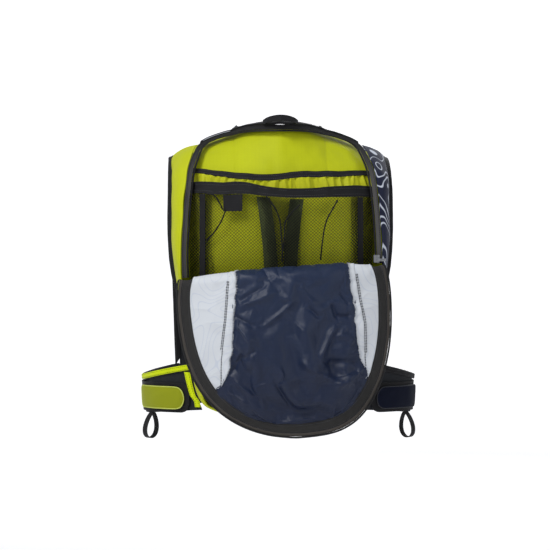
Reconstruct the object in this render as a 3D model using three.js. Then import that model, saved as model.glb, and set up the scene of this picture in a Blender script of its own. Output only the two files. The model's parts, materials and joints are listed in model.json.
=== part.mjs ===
// A running hydration vest in the form it has when it is worn, with the main compartment unzipped.
// Every cloth piece is a thin wall that follows one shape, the runner's upper body, at its own height above it.
// Millimetres. +Z is up, the runner faces +Y, and +X is their right hand.
// The origin lies between the shoulders, level with the underside of the straps where they cross them.
import * as THREE from "three";

const vest = new THREE.Group();

// Colours of the cloth, the webbing and the small hard pieces
const lime = { color: 0xc4cf1e, roughness: 0.75, metalness: 0 };
const navy = { color: 0x1b2440, roughness: 0.6, metalness: 0 };
const lining = { color: 0x232a47, roughness: 0.5, metalness: 0 };
const pale = { color: 0xc9ccd2, roughness: 0.6, metalness: 0 };
const black = { color: 0x1c1c1f, roughness: 0.8, metalness: 0 };
const grey = { color: 0x5c5c5e, roughness: 0.7, metalness: 0 };
const net = { color: 0x2a2d22, roughness: 0.8, metalness: 0 };
const plastic = { color: 0x18181a, roughness: 0.45, metalness: 0 };
const metal = { color: 0xb8bab4, roughness: 0.35, metalness: 0.8 };

// The runner's body that the vest is cut for
const chestHalf = 165; // half the breadth of the rib cage
const backDepth = 108; // from the shoulder line back to the shoulder blades
const chestDepth = 116; // from the shoulder line forward to the breast bone
const bladeDrop = 60; // below this the back and the chest run straight down
const ridgeSlope = 0.445; // how far the shoulders fall for each millimetre outwards
const ridgeZero = 101; // from the middle to where the shoulders' top is level with the origin
const neckRise = 50; // how far the neck stands above the shoulders' slope
const boxiness = 2.5; // 2 is an oval rib cage, more is squarer
const shoulderRound = 1.18; // 1 is a half circle over the shoulder, more is sharper

// The vest's cut
const hemDrop = 316; // from the shoulder line down to the hem
const neckHalf = 58; // half the neck hole
const shoulderHalf = 127; // from the middle to a strap's outer edge
const hemHalf = 62; // half the back's width at the hem
const napeReach = 88; // cloth from the blade line up to the nape
const chestGapHalf = 45; // half the gap between the front panels
const chestOuter = 118; // from the middle to a front panel's outer edge
const frontDrop = 316; // from the shoulder line down to the front panels' hem

// Walls and small clearances
const padWall = 3; // the padded back, straps and front panels
const clothWall = 1.6; // ripstop and stretch cloth
const netWall = 1.2;
const tapeWall = 1.2; // woven tape and webbing
const bindingWidth = 5.5;
const bindingWall = 3.2;
const seam = 0.5; // between two pieces sewn edge to edge
const layer = 0.4; // between two pieces sewn flat on each other

// The main compartment and its zip
const openHalf = 118; // half the zip's arch
const openReach = 94; // cloth from the blade line up to the top of the zip's arch
const packDepth = 34; // how far the zip stands off the back
const zipTape = 5; // as wide as it looks from behind, for it is turned inwards
const zipSink = 8; // how much lower the tape's inner edge is
const coilWidth = 2.2;
const coilHeight = 2.4;
const yokeBand = 8.5; // the black band between the zip's arch and the neck hole
const yokeWall = 2.4;

// The flap that the zip opens, hanging by its lower edge
const foldDrop = 159; // from the shoulder line down to the fold
const foldCrown = 5; // how much higher the fold is in the middle
const foldLean = 4; // degrees that the fold line climbs towards the runner's right
const foldRadius = 6;
const lean = foldLean * Math.PI / 180;
const flapHalf = 124;
const flapLength = 207; // along the cloth, from the compartment's edge to the flap's tip
const flapTape = 13;
const flapBoxiness = 2.35;
const flapPuff = 9; // how far the middle of the lining stands out
const flapDrift = 16; // how far the flap's foot swings to the side

// Pockets inside the compartment
const sleeveDrop = 38; // from the shoulder line down to the sleeve's upper corners
const sleeveStand = 10; // how far the sleeve's mouth stands open
const netDrop = 60; // from the shoulder line down to the net's upper corners
const netStand = 9; // how far the net's mouth stands off the sleeve
const pocketHalf = 108;
const sleeveBand = 6;
const netBand = 9;
const netTape = 6.5;
const netTapeOut = 92.5; // from the middle to the tapes at the net's sides
const loopTabWidth = 22;
const loopTabDrop = 19;
const loopTabPlace = -0.53; // a share of pocketHalf
const netTapeGap = 40; // from the net's foot up to where the tapes start
const bladderStrap = 16;

// The wings that close the vest round the ribs
const wingTop = 257; // below the shoulder line, at the back
const wingTopSide = 275; // the same, at the runner's side
const wingTopFront = 262;
const wingBottom = 313; // at the back and at the front
const wingBottomSide = 320;
const wingRootHalf = 91; // from the middle to the lower end of a wing's root
const tongueTop = 283; // the hook and loop tongue on each wing
const tongueHeight = 35;
const tongueWall = 1.8;
const tongueRound = 13;
const patchInset = 4.5;
const patchWall = 1.2;
const trimWidth = 6.5;

// Pockets, webbing and loops at the front
const flaskDrop = 120; // from the shoulder line down to a flask pocket's mouth
const flaskLength = 140;
const flaskDepth = 26;
const sternumWidth = 15;
const sternumHigh = 95; // the two chest webbings, below the shoulder line
const sternumLow = 200;
const buckleLength = 30;
const buckleWidth = 22;
const buckleThick = 5;
const sideLoopLength = 32;
const sideLoopWidth = 9;
const sideLoopTurn = 70; // degrees from the middle of the back
const sideLoopTwist = 8; // degrees that the webbing is turned outwards, so it is seen partly edge on from behind
const haulHalf = 21;
const haulRise = 8;
const haulWidth = 7;
const sliderLength = 9;
const sliderWidth = 7;
const sliderThick = 3;
const pullLength = 12;
const pullWidth = 3;
const pullThick = 1.6;

const degrees = Math.PI / 180;
const lerp = THREE.MathUtils.lerp;
const clamp = THREE.MathUtils.clamp;

// A column of a table read smoothly at a place along its key column
function read(rows, key, column, at) {
  let low = 0;
  while (low < rows.length - 2 && at > rows[low + 1][key]) low++;
  const slope = (row) => {
    const before = rows[Math.max(0, row - 1)];
    const after = rows[Math.min(rows.length - 1, row + 1)];
    return (after[column] - before[column]) / (after[key] - before[key]);
  };
  const [a, b] = [rows[low], rows[low + 1]];
  const run = b[key] - a[key];
  const t = clamp((at - a[key]) / run, 0, 1);
  const near = (1 + 2 * t) * (1 - t) ** 2 * a[column] + t ** 2 * (3 - 2 * t) * b[column];
  return near + run * t * (1 - t) * ((1 - t) * slope(low) - t * slope(low + 1));
}

// The body's sections, as shares of the sizes above: up is a share of hemDrop
const bodyRows = [
  { up: -1.2, wide: 0.94, back: 0.79, front: 0.95 },
  { up: -0.9, wide: 0.97, back: 0.86, front: 0.99 },
  { up: -0.6, wide: 1.0, back: 0.97, front: 1.0 },
  { up: -0.35, wide: 1.0, back: 1.0, front: 0.97 },
  { up: -0.15, wide: 1.0, back: 0.96, front: 0.88 },
  { up: 0.0, wide: 1.0, back: 0.9, front: 0.78 },
  { up: 0.3, wide: 1.0, back: 0.86, front: 0.7 },
];

function bodyAt(z) {
  const up = z / hemDrop;
  return {
    wide: chestHalf * read(bodyRows, "up", "wide", up),
    back: backDepth * read(bodyRows, "up", "back", up),
    front: chestDepth * read(bodyRows, "up", "front", up),
  };
}

function rounded(share, power) {
  return (1 - Math.min(1, Math.abs(share)) ** power) ** (1 / power);
}

// The shoulder's top at a distance from the middle, with the neck rising inside the neck hole
function ridge(x) {
  const neck = Math.max(0, 1 - Math.abs(x) / neckHalf);
  return ridgeSlope * (ridgeZero - Math.abs(x)) + neckRise * neck ** 1.4;
}

// The body's outline from the side at a distance x from the middle, from the blade line over the shoulder
const arcSteps = 90;
const outlines = new Map();
function outline(x) {
  const key = Math.abs(x).toFixed(2);
  if (outlines.has(key)) return outlines.get(key);
  const rise = ridge(x) + bladeDrop;
  const points = [];
  let run = 0;
  for (let i = 0; i <= arcSteps; i++) {
    const turn = (Math.PI * i) / arcSteps;
    const z = -bladeDrop + rise * Math.sin(turn) ** shoulderRound;
    const { wide, back, front } = bodyAt(z);
    const depth = rounded(x / wide, boxiness) * Math.abs(Math.cos(turn)) ** shoulderRound;
    const y = 2 * i < arcSteps ? -back * depth : front * depth;
    if (i > 0) run += Math.hypot(y - points[i - 1].y, z - points[i - 1].z);
    points.push({ y, z, run });
  }
  const ridgeRun = points[arcSteps / 2].run;
  outlines.set(key, { points, ridgeRun, total: run });
  return outlines.get(key);
}

// A point of that outline. Its place is the cloth's length from the blade line at the back, up and over the shoulder
function onOutline(x, place) {
  const { points, total } = outline(x);
  if (place <= 0 || place >= total) {
    const z = -bladeDrop - Math.max(-place, place - total);
    const { wide, back, front } = bodyAt(z);
    const depth = rounded(x / wide, boxiness);
    return { y: place <= 0 ? -back * depth : front * depth, z };
  }
  let i = 1;
  while (points[i].run < place) i++;
  const [a, b] = [points[i - 1], points[i]];
  const t = (place - a.run) / (b.run - a.run);
  return { y: lerp(a.y, b.y, t), z: lerp(a.z, b.z, t) };
}

// A point lifted off the body, straight out of its side outline, so that its x stays
function onBody(x, place, lift) {
  const reach = 3;
  const here = onOutline(x, place);
  const before = onOutline(x, place - reach);
  const after = onOutline(x, place + reach);
  const run = Math.hypot(after.y - before.y, after.z - before.z);
  const [dy, dz] = [(after.y - before.y) / run, (after.z - before.z) / run];
  return new THREE.Vector3(x, here.y - dz * lift, here.z + dy * lift);
}

// The place on the back that lies at a height, and the same on the chest
function placeOnBack(x, z) {
  if (z <= -bladeDrop) return z + bladeDrop;
  const { points, ridgeRun } = outline(x);
  const i = points.findIndex((p) => p.z >= z);
  if (i < 1) return ridgeRun;
  const [a, b] = [points[i - 1], points[i]];
  return lerp(a.run, b.run, (z - a.z) / (b.z - a.z));
}
const placeOnChest = (x, z) => outline(x).total - bladeDrop - z;

// The body all the way round below the arms, by the angle from the middle of the back
function roundBody(angle, z, lift) {
  const point = (a) => {
    const { wide, back, front } = bodyAt(z);
    const [s, c] = [Math.sin(a * degrees), Math.cos(a * degrees)];
    const power = 2 / boxiness;
    const y = c > 0 ? -back * c ** power : front * (-c) ** power;
    return new THREE.Vector2(Math.sign(s) * wide * Math.abs(s) ** power, y);
  };
  const along = point(angle + 1).sub(point(angle - 1)).normalize();
  const here = point(angle);
  return new THREE.Vector3(here.x + along.y * lift, here.y - along.x * lift, z);
}
function angleAt(x, z) {
  return Math.asin(Math.min(1, x / bodyAt(z).wide) ** (boxiness / 2)) / degrees;
}

// A closed wall on a grid between an inner and an outer side. u and v run from 0 to 1,
// and u's way crossed with v's points from the inner side to the outer one
function wallGeometry(across, along, inner, outer) {
  const stations = (n) => (Array.isArray(n) ? n : Array.from({ length: n + 1 }, (_, i) => i / n));
  const [us, vs] = [stations(across), stations(along)];
  const sides = [inner, outer].map((side) => vs.flatMap((v) => us.map((u) => side(u, v))));
  const count = us.length * vs.length;
  const columns = us.length;
  const triangles = [];
  const quad = (a, b, c, d) => triangles.push(a, b, c, a, c, d);
  for (let j = 0; j < vs.length - 1; j++) {
    for (let i = 0; i < columns - 1; i++) {
      const a = j * columns + i;
      quad(a, a + columns, a + columns + 1, a + 1);
      quad(count + a, count + a + 1, count + a + columns + 1, count + a + columns);
    }
  }
  for (let i = 0; i < columns - 1; i++) {
    const top = (vs.length - 1) * columns + i;
    quad(i, i + 1, count + i + 1, count + i);
    quad(top + 1, top, count + top, count + top + 1);
  }
  for (let j = 0; j < vs.length - 1; j++) {
    const left = j * columns;
    const right = left + columns - 1;
    quad(left + columns, left, count + left, count + left + columns);
    quad(right, right + columns, count + right + columns, count + right);
  }
  const positions = sides.flat().flatMap((p) => [p.x, p.y, p.z]);
  const geometry = new THREE.BufferGeometry();
  geometry.setAttribute("position", new THREE.Float32BufferAttribute(positions, 3));
  geometry.setIndex(triangles);
  return geometry;
}

// A piece of cloth that lies on the body. at(u, v) gives its x, its place and its lift
function onCloth(across, along, at, wall) {
  const side = (rise) => (u, v) => {
    const { x, place, lift } = at(u, v);
    return onBody(x, place, lift + rise);
  };
  return wallGeometry(across, along, side(0), side(wall));
}

// A piece that goes round the ribs. at(u, v) gives its angle, its height and its lift
function roundCloth(across, along, at, wall) {
  const side = (rise) => (u, v) => {
    const { angle, z, lift } = at(u, v);
    return roundBody(angle, z, lift + rise);
  };
  return wallGeometry(across, along, side(0), side(wall));
}

// A piece that hangs free. face(u, v) is its inner side, and the wall grows straight out of it
function freeCloth(across, along, face, wall) {
  const nudge = 1e-3;
  const outer = (u, v) => {
    const alongU = face(Math.min(1, u + nudge), v).sub(face(Math.max(0, u - nudge), v));
    const alongV = face(u, Math.min(1, v + nudge)).sub(face(u, Math.max(0, v - nudge)));
    return face(u, v).addScaledVector(alongU.cross(alongV).normalize(), wall);
  };
  return wallGeometry(across, along, face, outer);
}

function add(name, finish, geometry, mirrored = false) {
  const mesh = new THREE.Mesh(geometry, new THREE.MeshStandardMaterial(finish));
  mesh.name = name;
  if (mirrored) mesh.scale.x = -1;
  vest.add(mesh);
}

// The same piece on the runner's right and, mirrored, on their left
function pair(name, finishRight, finishLeft, geometry) {
  add(name + "_right", finishRight, geometry);
  add(name + "_left", finishLeft, geometry, true);
}

// A smooth line on the cloth, through points given as [x, place]
function lineThrough(points) {
  return new THREE.CatmullRomCurve3(points.map(([x, place]) => new THREE.Vector3(x, place, 0)));
}

// The same points on the other side, in the opposite order
const mirrored = (points) => points.map(([x, place]) => [-x, place]).reverse();

// A point of such a line, moved aside to the right of its way
function beside(line, v, inset) {
  const point = line.getPointAt(clamp(v, 0, 1));
  const way = line.getTangentAt(clamp(v, 0, 1));
  return { x: point.x + way.y * inset, place: point.y - way.x * inset, on: point };
}

// Half the width of the back between the hem, 0, and the blade line, 1: wide is a share of the growth
const edgeRows = [
  { up: 0.0, wide: 0.0 },
  { up: 0.016, wide: 0.28 },
  { up: 0.04, wide: 0.44 },
  { up: 0.07, wide: 0.53 },
  { up: 0.14, wide: 0.605 },
  { up: 0.23, wide: 0.67 },
  { up: 0.34, wide: 0.71 },
  { up: 0.45, wide: 0.785 },
  { up: 0.55, wide: 0.865 },
  { up: 0.65, wide: 0.945 },
  { up: 0.78, wide: 1.0 },
  { up: 1.0, wide: 1.0 },
];
const hemPlace = bladeDrop - hemDrop;
function edgeHalf(place) {
  const up = clamp(1 - place / hemPlace, 0, 1);
  return lerp(hemHalf, shoulderHalf, read(edgeRows, "up", "wide", up));
}

// The neck hole's edge behind the neck, and the seam where each strap joins the back
function neckPlace(x) {
  const share = clamp(Math.abs(x) / neckHalf, 0, 1);
  const strapPlace = outline(neckHalf).ridgeRun - 10;
  return napeReach + (strapPlace - napeReach) * (1 - Math.sqrt(1 - share ** 2));
}
function strapSeam(x) {
  const share = clamp((Math.abs(x) - neckHalf) / (shoulderHalf - neckHalf), 0, 1);
  return lerp(neckPlace(neckHalf), outline(shoulderHalf).ridgeRun * 0.62, share);
}
const topPlace = (x) => (Math.abs(x) < neckHalf ? neckPlace(x) : strapSeam(x));

// The padded back, against the runner
const neckShare = neckHalf / shoulderHalf;
const strapStations = [0, 0.25, 0.5, 0.75, 1];
const neckStations = [0.3, 0.55, 0.75, 0.9].map((s) => s * neckShare);
const backStations = [0, ...neckStations, ...strapStations.map((s) => lerp(neckShare, 1, s))];
const backAcross = [...backStations.slice(1).reverse().map((s) => -s), ...backStations];
const backLevels = [0, 0.013, 0.04, 0.12, 0.24, 0.36, 0.48, 0.58, 0.66, 0.72, 0.77, 0.81, 0.85, 0.89, 0.93, 0.97, 1];
const backFace = (u, v) => {
  const x = (2 * u - 1) * edgeHalf(lerp(hemPlace, strapSeam(shoulderHalf), v));
  return { x, place: lerp(hemPlace, topPlace(x) - seam, v), lift: 0 };
};
const backColumns = backAcross.map((s) => (s + 1) / 2);
add("back_panel", lime, onCloth(backColumns, backLevels, backFace, padWall));

// The straps over the shoulders and the panels down the chest
const frontTop = -bladeDrop; // a strap ends and a front panel starts at this height
const downFront = (z) => clamp((frontTop - z) / (frontDrop - bladeDrop), 0, 1);
const innerEdge = (z) => lerp(neckHalf, chestGapHalf, downFront(z) ** 0.6);
const outerEdge = (z) => lerp(shoulderHalf, chestOuter, downFront(z));
const strapFace = (u, v) => {
  const x = lerp(neckHalf, shoulderHalf, u);
  return { x, place: lerp(strapSeam(x) + seam, placeOnChest(x, frontTop), v), lift: 0 };
};
pair("strap", navy, lime, onCloth(strapStations, 12, strapFace, padWall));
const frontFace = (u, v) => {
  const z = lerp(frontTop - seam, -frontDrop, v);
  const x = lerp(innerEdge(z), outerEdge(z), u);
  return { x, place: placeOnChest(x, z), lift: 0 };
};
pair("front_panel", navy, lime, onCloth(4, 8, frontFace, padWall));

// Bindings that cover the raw edges of the armholes, the neck hole and the hem
const bindingLift = (padWall - bindingWall) / 2;
const armholeBack = [-1, -0.8, -0.6, -0.4, -0.2, 0, 0.5, 1].map((share) => {
  const place = share < 0 ? share * (wingTop - bladeDrop) : share * strapSeam(shoulderHalf);
  return [edgeHalf(place), place];
});
const overShoulder = [0.2, 0.4, 0.6, 0.8, 1].map((share) => {
  const { total } = outline(shoulderHalf);
  return [shoulderHalf, lerp(strapSeam(shoulderHalf), total, share)];
});
const downChest = [0.25, 0.5, 0.75, 1].map((share) => {
  const z = lerp(frontTop, -wingTop, share);
  return [outerEdge(z), placeOnChest(outerEdge(z), z)];
});
const armhole = lineThrough([...armholeBack, ...overShoulder, ...downChest]);
const armholeFace = (u, v) => {
  const { x, place } = beside(armhole, v, seam * 1.5 + u * bindingWidth);
  return { x, place, lift: bindingLift };
};
pair("armhole_binding", black, black, onCloth(1, 36, armholeFace, bindingWall));

const upChest = [0, 0.2, 0.4, 0.6, 0.8].map((share) => {
  const z = lerp(-frontDrop, frontTop, share);
  return [-innerEdge(z), placeOnChest(innerEdge(z), z)];
});
const besideNeck = [0.85, 0.65, 0.45, 0.25, 0.1, 0].map((share) => {
  const { total } = outline(neckHalf);
  return [-neckHalf, lerp(neckPlace(neckHalf), total, share)];
});
const behindNeck = [0.97, 0.88, 0.7, 0.45, 0.2].map((share) => [-share * neckHalf, neckPlace(share * neckHalf)]);
const halfNeck = [...upChest, ...besideNeck, ...behindNeck];
const neckEdge = lineThrough([...halfNeck, [0, napeReach], ...mirrored(halfNeck)]);
const neckFace = (u, v) => {
  const { x, place } = beside(neckEdge, v, (u - 1) * bindingWidth - seam * 3);
  return { x, place, lift: bindingLift };
};
add("neck_binding", black, onCloth(1, 46, neckFace, bindingWall));

// The zip's arch, from its foot to the middle: across is a share of openHalf and up of openReach
const archRows = [
  { across: 1.0, up: -0.95 },
  { across: 0.985, up: -0.49 },
  { across: 0.965, up: -0.11 },
  { across: 0.925, up: 0.24 },
  { across: 0.89, up: 0.45 },
  { across: 0.845, up: 0.7 },
  { across: 0.8, up: 0.82 },
  { across: 0.745, up: 0.9 },
  { across: 0.66, up: 0.96 },
  { across: 0.53, up: 1.0 },
  { across: 0.4, up: 0.98 },
  { across: 0.26, up: 0.93 },
  { across: 0.13, up: 0.9 },
  { across: 0.0, up: 0.885 },
];
const archFoot = archRows[0].up * openReach;

// The compartment's outline: the arch's leg, and below it the back's own taper
function packHalf(place) {
  if (place < archFoot) return openHalf + edgeHalf(place) - edgeHalf(archFoot);
  return openHalf * read(archRows.slice(0, 10), "up", "across", place / openReach);
}

// How far the compartment's edge stands off the body, as shares of packDepth: up is a share of openReach
const depthRows = [
  { up: -2.8, lift: 0.2 },
  { up: -2.4, lift: 0.72 },
  { up: -1.7, lift: 1.04 },
  { up: -0.9, lift: 1.0 },
  { up: -0.5, lift: 0.9 },
  { up: -0.1, lift: 0.71 },
  { up: 0.24, lift: 0.48 },
  { up: 0.5, lift: 0.36 },
  { up: 0.8, lift: 0.28 },
  { up: 1.0, lift: 0.24 },
];
const packLift = (place) => padWall + packDepth * read(depthRows, "up", "lift", place / openReach);

// The compartment's sides, from the armhole's edge out to the zip
const sideTop = strapSeam(shoulderHalf) + 8;
const sideBase = padWall + layer;
const sideStations = [0, 0.013, 0.04, 0.12, 0.24, 0.36, 0.48, 0.6, 0.68, 0.74, 0.79, 0.83, 0.87, 0.91, 0.94, 0.97, 1];
const packSide = (u, v) => {
  const place = lerp(hemPlace, sideTop, v);
  const turn = (u * Math.PI) / 2;
  const x = lerp(packHalf(place) + seam, edgeHalf(place), Math.sin(turn));
  return onBody(x, place, sideBase + (packLift(place) - sideBase) * Math.cos(turn) ** 1.1);
};
pair("pack_side", navy, lime, freeCloth(4, sideStations, packSide, clothWall));

// The compartment's lower front, from the hem up to the fold of the flap
const foldZ = (x) => -foldDrop + x * Math.tan(lean) + foldCrown * (1 - (x / openHalf) ** 2);
const foldPlace = (x) => foldZ(x) + bladeDrop;
const shellFace = (u, v) => {
  const rough = lerp(hemPlace, foldPlace((2 * u - 1) * openHalf), v);
  const x = (2 * u - 1) * (packHalf(rough) - seam * 2);
  const place = lerp(hemPlace, foldPlace(x), v);
  const crown = 1 + 0.1 * (1 - (2 * u - 1) ** 2) * Math.sin(Math.PI * v);
  return { x, place, lift: packLift(place) * crown };
};
add("pack_shell", pale, onCloth(12, 6, shellFace, clothWall));

// The hem, which closes the compartment's foot
const hemLine = lineThrough([-1, -0.5, 0, 0.5, 1].map((share) => [share * hemHalf, hemPlace]));
const hemFace = (u, v) => {
  const { x, place } = beside(hemLine, v, seam * 4 + u * bindingWidth);
  return { x, place, lift: bindingLift };
};
add("hem_binding", black, onCloth(1, 14, hemFace, packLift(hemPlace) + clothWall - bindingLift));

// The zip's half on the compartment, and the black band between its arch and the neck hole
const archLeft = archRows.slice(1, -1).map((row) => [-row.across * openHalf, row.up * openReach]);
const archTop = archRows[archRows.length - 1].up * openReach;
const aboveFold = foldRadius + clothWall * 2 + seam * 2;
const zipStart = foldPlace(-openHalf) + aboveFold;
const zipEnd = foldPlace(openHalf) + aboveFold;
const zipLine = lineThrough([
  [-packHalf(zipStart), zipStart],
  [-packHalf(archFoot * 0.75), archFoot * 0.75],
  ...archLeft,
  [0, archTop],
  ...mirrored(archLeft),
  [packHalf(archFoot * 0.75), archFoot * 0.75],
  [packHalf(zipEnd), zipEnd],
]);
const alongZip = (from, to) => (u, v) => {
  const inset = lerp(from, to, u);
  const { x, place, on } = beside(zipLine, v, inset);
  const sink = Math.min(zipSink, 0.4 * (packLift(on.y) - padWall * 2));
  return { x, place, lift: packLift(on.y) - (sink * inset) / (zipTape + coilWidth) };
};
const coilOnPack = zipTape + seam * 3;
add("zip_tape_pack", grey, onCloth(1, 44, alongZip(seam * 2, seam * 2 + zipTape), tapeWall));
add("zip_coil_pack", black, onCloth(1, 44, alongZip(coilOnPack, coilOnPack + coilWidth), coilHeight));
const archLine = lineThrough([...archLeft.slice(5), [0, archTop], ...mirrored(archLeft.slice(5))]);
const yokeFace = (u, v) => {
  const band = yokeBand * (0.25 + 0.75 * Math.sin(Math.PI * v));
  const { x, place, on } = beside(archLine, v, -band * (1 - u));
  const low = padWall + clothWall + layer;
  return { x, place, lift: lerp(low, Math.max(low, packLift(on.y)), u ** 0.7) };
};
add("yoke", black, onCloth(2, 24, yokeFace, yokeWall));

// The sleeve for the water bladder. Its mouth sags between the corners and stands open
const sleeveSag = [
  { across: -1, drop: 0 },
  { across: -0.57, drop: 9 },
  { across: -0.17, drop: 11 },
  { across: 0.14, drop: 8 },
  { across: 0.6, drop: 8 },
  { across: 1, drop: 3 },
];
const netSag = [
  { across: -1, drop: 0 },
  { across: -0.6, drop: 4 },
  { across: -0.45, drop: 3 },
  { across: -0.1, drop: 7 },
  { across: 0.25, drop: 8 },
  { across: 1, drop: 4 },
];
const sleeveMouth = (x) => placeOnBack(x, -sleeveDrop - read(sleeveSag, "across", "drop", x / pocketHalf));
const netMouth = (x) => placeOnBack(x, -netDrop - read(netSag, "across", "drop", x / pocketHalf));

const gathers = 9;
function sleeveLift(x, place) {
  const share = clamp(x / pocketHalf, -1, 1);
  const up = clamp((place - hemPlace) / (sleeveMouth(x) - hemPlace), 0, 1);
  const stand = sleeveStand * (1 - share ** 2) * up ** 1.5;
  const ripple = 0.8 * Math.sin(share * Math.PI * gathers) * (1 - share ** 2) * up ** 4;
  return padWall + layer * 4 + stand + ripple;
}
const netBase = clothWall + 2.2;
function netLift(x, place) {
  const share = clamp(x / pocketHalf, -1, 1);
  const up = clamp((place - hemPlace) / (netMouth(x) - hemPlace), 0, 1);
  return sleeveLift(x, place) + netBase + netStand * (1 - share ** 4) * up ** 2;
}
function pocketHalfAt(place) {
  return Math.min(pocketHalf, edgeHalf(place) - 14);
}
const pocketFace = (mouth, lift) => (u, v) => {
  const half = pocketHalfAt(lerp(hemPlace + bindingWidth, mouth(0), v));
  const x = (2 * u - 1) * half;
  const place = lerp(hemPlace + bindingWidth, mouth(x), v);
  return { x, place, lift: lift(x, place) };
};
const mouthBand = (mouth, lift, width) => (u, v) => {
  const x = (2 * u - 1) * pocketHalf;
  const place = mouth(x) + seam + v * width;
  return { x, place, lift: lift(x, place) };
};
const pocketLevels = [0, 0.2, 0.4, 0.58, 0.72, 0.83, 0.92, 1];
add("sleeve", lime, onCloth(16, pocketLevels, pocketFace(sleeveMouth, sleeveLift), clothWall));
add("sleeve_band", black, onCloth(16, 1, mouthBand(sleeveMouth, sleeveLift, sleeveBand), clothWall));
add("net_pocket", net, onCloth(16, pocketLevels, pocketFace(netMouth, netLift), netWall));
add("net_band", black, onCloth(16, 1, mouthBand(netMouth, netLift, netBand), clothWall));

// Tapes sewn down the net's face
const netFoot = hemPlace + bindingWidth * 3;
const onNet = (middle, width, foot) => (u, v) => {
  const x = middle + (u - 0.5) * width;
  const place = lerp(foot, netMouth(x) - seam, v);
  return { x, place, lift: netLift(x, place) + netWall + layer };
};
add("net_tape_left", black, onCloth(1, 7, onNet(-netTapeOut, netTape, netFoot + netTapeGap), tapeWall));
add("net_tape_right", black, onCloth(1, 7, onNet(netTapeOut, netTape, netFoot + netTapeGap), tapeWall));
const loopTabMiddle = loopTabPlace * pocketHalf;
const loopTabFoot = netMouth(loopTabMiddle) - loopTabDrop;
add("loop_tab", black, onCloth(3, 2, onNet(loopTabMiddle, loopTabWidth, loopTabFoot), tapeWall));

// Two straps behind the net that hold the bladder, wide apart at the top and closer below
const bladderRows = [
  { down: 0, left: -0.2, right: 0.16 },
  { down: 0.25, left: -0.13, right: 0.1 },
  { down: 0.6, left: -0.1, right: 0.08 },
  { down: 1, left: -0.1, right: 0.07 },
];
const bladderFace = (side) => (u, v) => {
  const x = pocketHalf * read(bladderRows, "down", side, 1 - v) + (u - 0.5) * bladderStrap;
  const place = lerp(netFoot, netMouth(x) - seam, v);
  const low = sleeveLift(x, place) + clothWall;
  const high = netLift(x, place) - tapeWall;
  return { x, place, lift: lerp(low, high, 0.5) };
};
add("bladder_strap_left", black, onCloth(1, 8, bladderFace("left"), tapeWall));
add("bladder_strap_right", black, onCloth(1, 8, bladderFace("right"), tapeWall));

// The flap. A point of its cloth is given by its distance across and its distance down from the compartment
const halfTurn = Math.PI * foldRadius;
function flapEdge(down) {
  const shoulder = flapLength * 0.2;
  if (down < shoulder) return flapHalf * (1 - 0.07 * (1 - down / shoulder) ** 2);
  return flapHalf * rounded((down - shoulder) / (flapLength - shoulder), flapBoxiness);
}

// Folds of the lining, as shares of flapHalf and flapLength: a ridge at (across, down), turned from upright
const foldRows = [
  { across: -0.42, down: 0.46, turn: -38, long: 0.26, wide: 0.07, high: 4.0 },
  { across: -0.1, down: 0.3, turn: -32, long: 0.3, wide: 0.08, high: 3.2 },
  { across: 0.3, down: 0.27, turn: 30, long: 0.2, wide: 0.06, high: 3.0 },
  { across: 0.08, down: 0.62, turn: 12, long: 0.3, wide: 0.09, high: 4.5 },
  { across: 0.42, down: 0.52, turn: 55, long: 0.24, wide: 0.07, high: 4.2 },
  { across: -0.2, down: 0.72, turn: -20, long: 0.22, wide: 0.08, high: 3.6 },
  { across: 0.5, down: 0.7, turn: 70, long: 0.16, wide: 0.06, high: 3.0 },
];
function foldHeight(across, down) {
  let height = 0;
  for (const fold of foldRows) {
    const dx = across - fold.across * flapHalf;
    const dz = down - fold.down * flapLength;
    const [s, c] = [Math.sin(fold.turn * degrees), Math.cos(fold.turn * degrees)];
    const lengthwise = (dz * c - dx * s) / (fold.long * flapLength);
    const sideways = (dx * c + dz * s) / (fold.wide * flapHalf);
    height += fold.high * Math.exp(-(lengthwise ** 2) - sideways ** 2);
  }
  return height;
}
function flapPoint(across, down, lift) {
  const turn = Math.min(down, halfTurn) / foldRadius;
  const out = foldRadius * (1 - Math.cos(turn));
  const rise = foldRadius * Math.sin(turn) - Math.max(0, down - halfTurn);
  const lineX = across * Math.cos(lean);
  const seat = onBody(lineX, foldPlace(lineX), packLift(foldPlace(lineX)));
  const start = seam + clothWall;
  const bulge = lift * (down < halfTurn ? Math.sin(turn / 2) : 1);
  const drift = flapDrift * clamp(down / flapLength, 0, 1) ** 6;
  const x = lineX - rise * Math.sin(lean) + drift;
  return new THREE.Vector3(x, seat.y - out - bulge, seat.z + start + rise * Math.cos(lean));
}
function puff(across, down) {
  const side = clamp(1 - (across / (flapEdge(down) + 1)) ** 2, 0, 1);
  const length = Math.sin(Math.PI * clamp(down / flapLength, 0, 1));
  return flapPuff * side * length + foldHeight(across, down) * side ** 0.5;
}

// The flap's outline, from the compartment's left corner round its foot, and how wide it is inside the zip
const flapShares = [0, 0.06, 0.12, 0.2, 0.3, 0.42, 0.54, 0.65, 0.75, 0.83, 0.9, 0.95, 0.985];
const flapLeft = flapShares.map((share) => [-flapEdge(share * flapLength), -share * flapLength]);
const flapOutline = lineThrough([
  ...flapLeft,
  [0, -flapLength],
  ...flapLeft.map(([x, place]) => [-x, place]).reverse(),
]);
const zipOnFlap = flapTape + coilWidth + seam * 2;
const insideZip = Array.from({ length: 121 }, (_, i) => beside(flapOutline, i / 240, -zipOnFlap));
function innerHalf(down) {
  const i = insideZip.findIndex((p) => -p.place >= down);
  if (i < 1) return i === 0 ? -insideZip[0].x : 0;
  const [a, b] = [insideZip[i - 1], insideZip[i]];
  return -lerp(a.x, b.x, (down + a.place) / (a.place - b.place));
}

const sideFoot = 0.69; // the pale sides end at this share of flapLength

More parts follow.
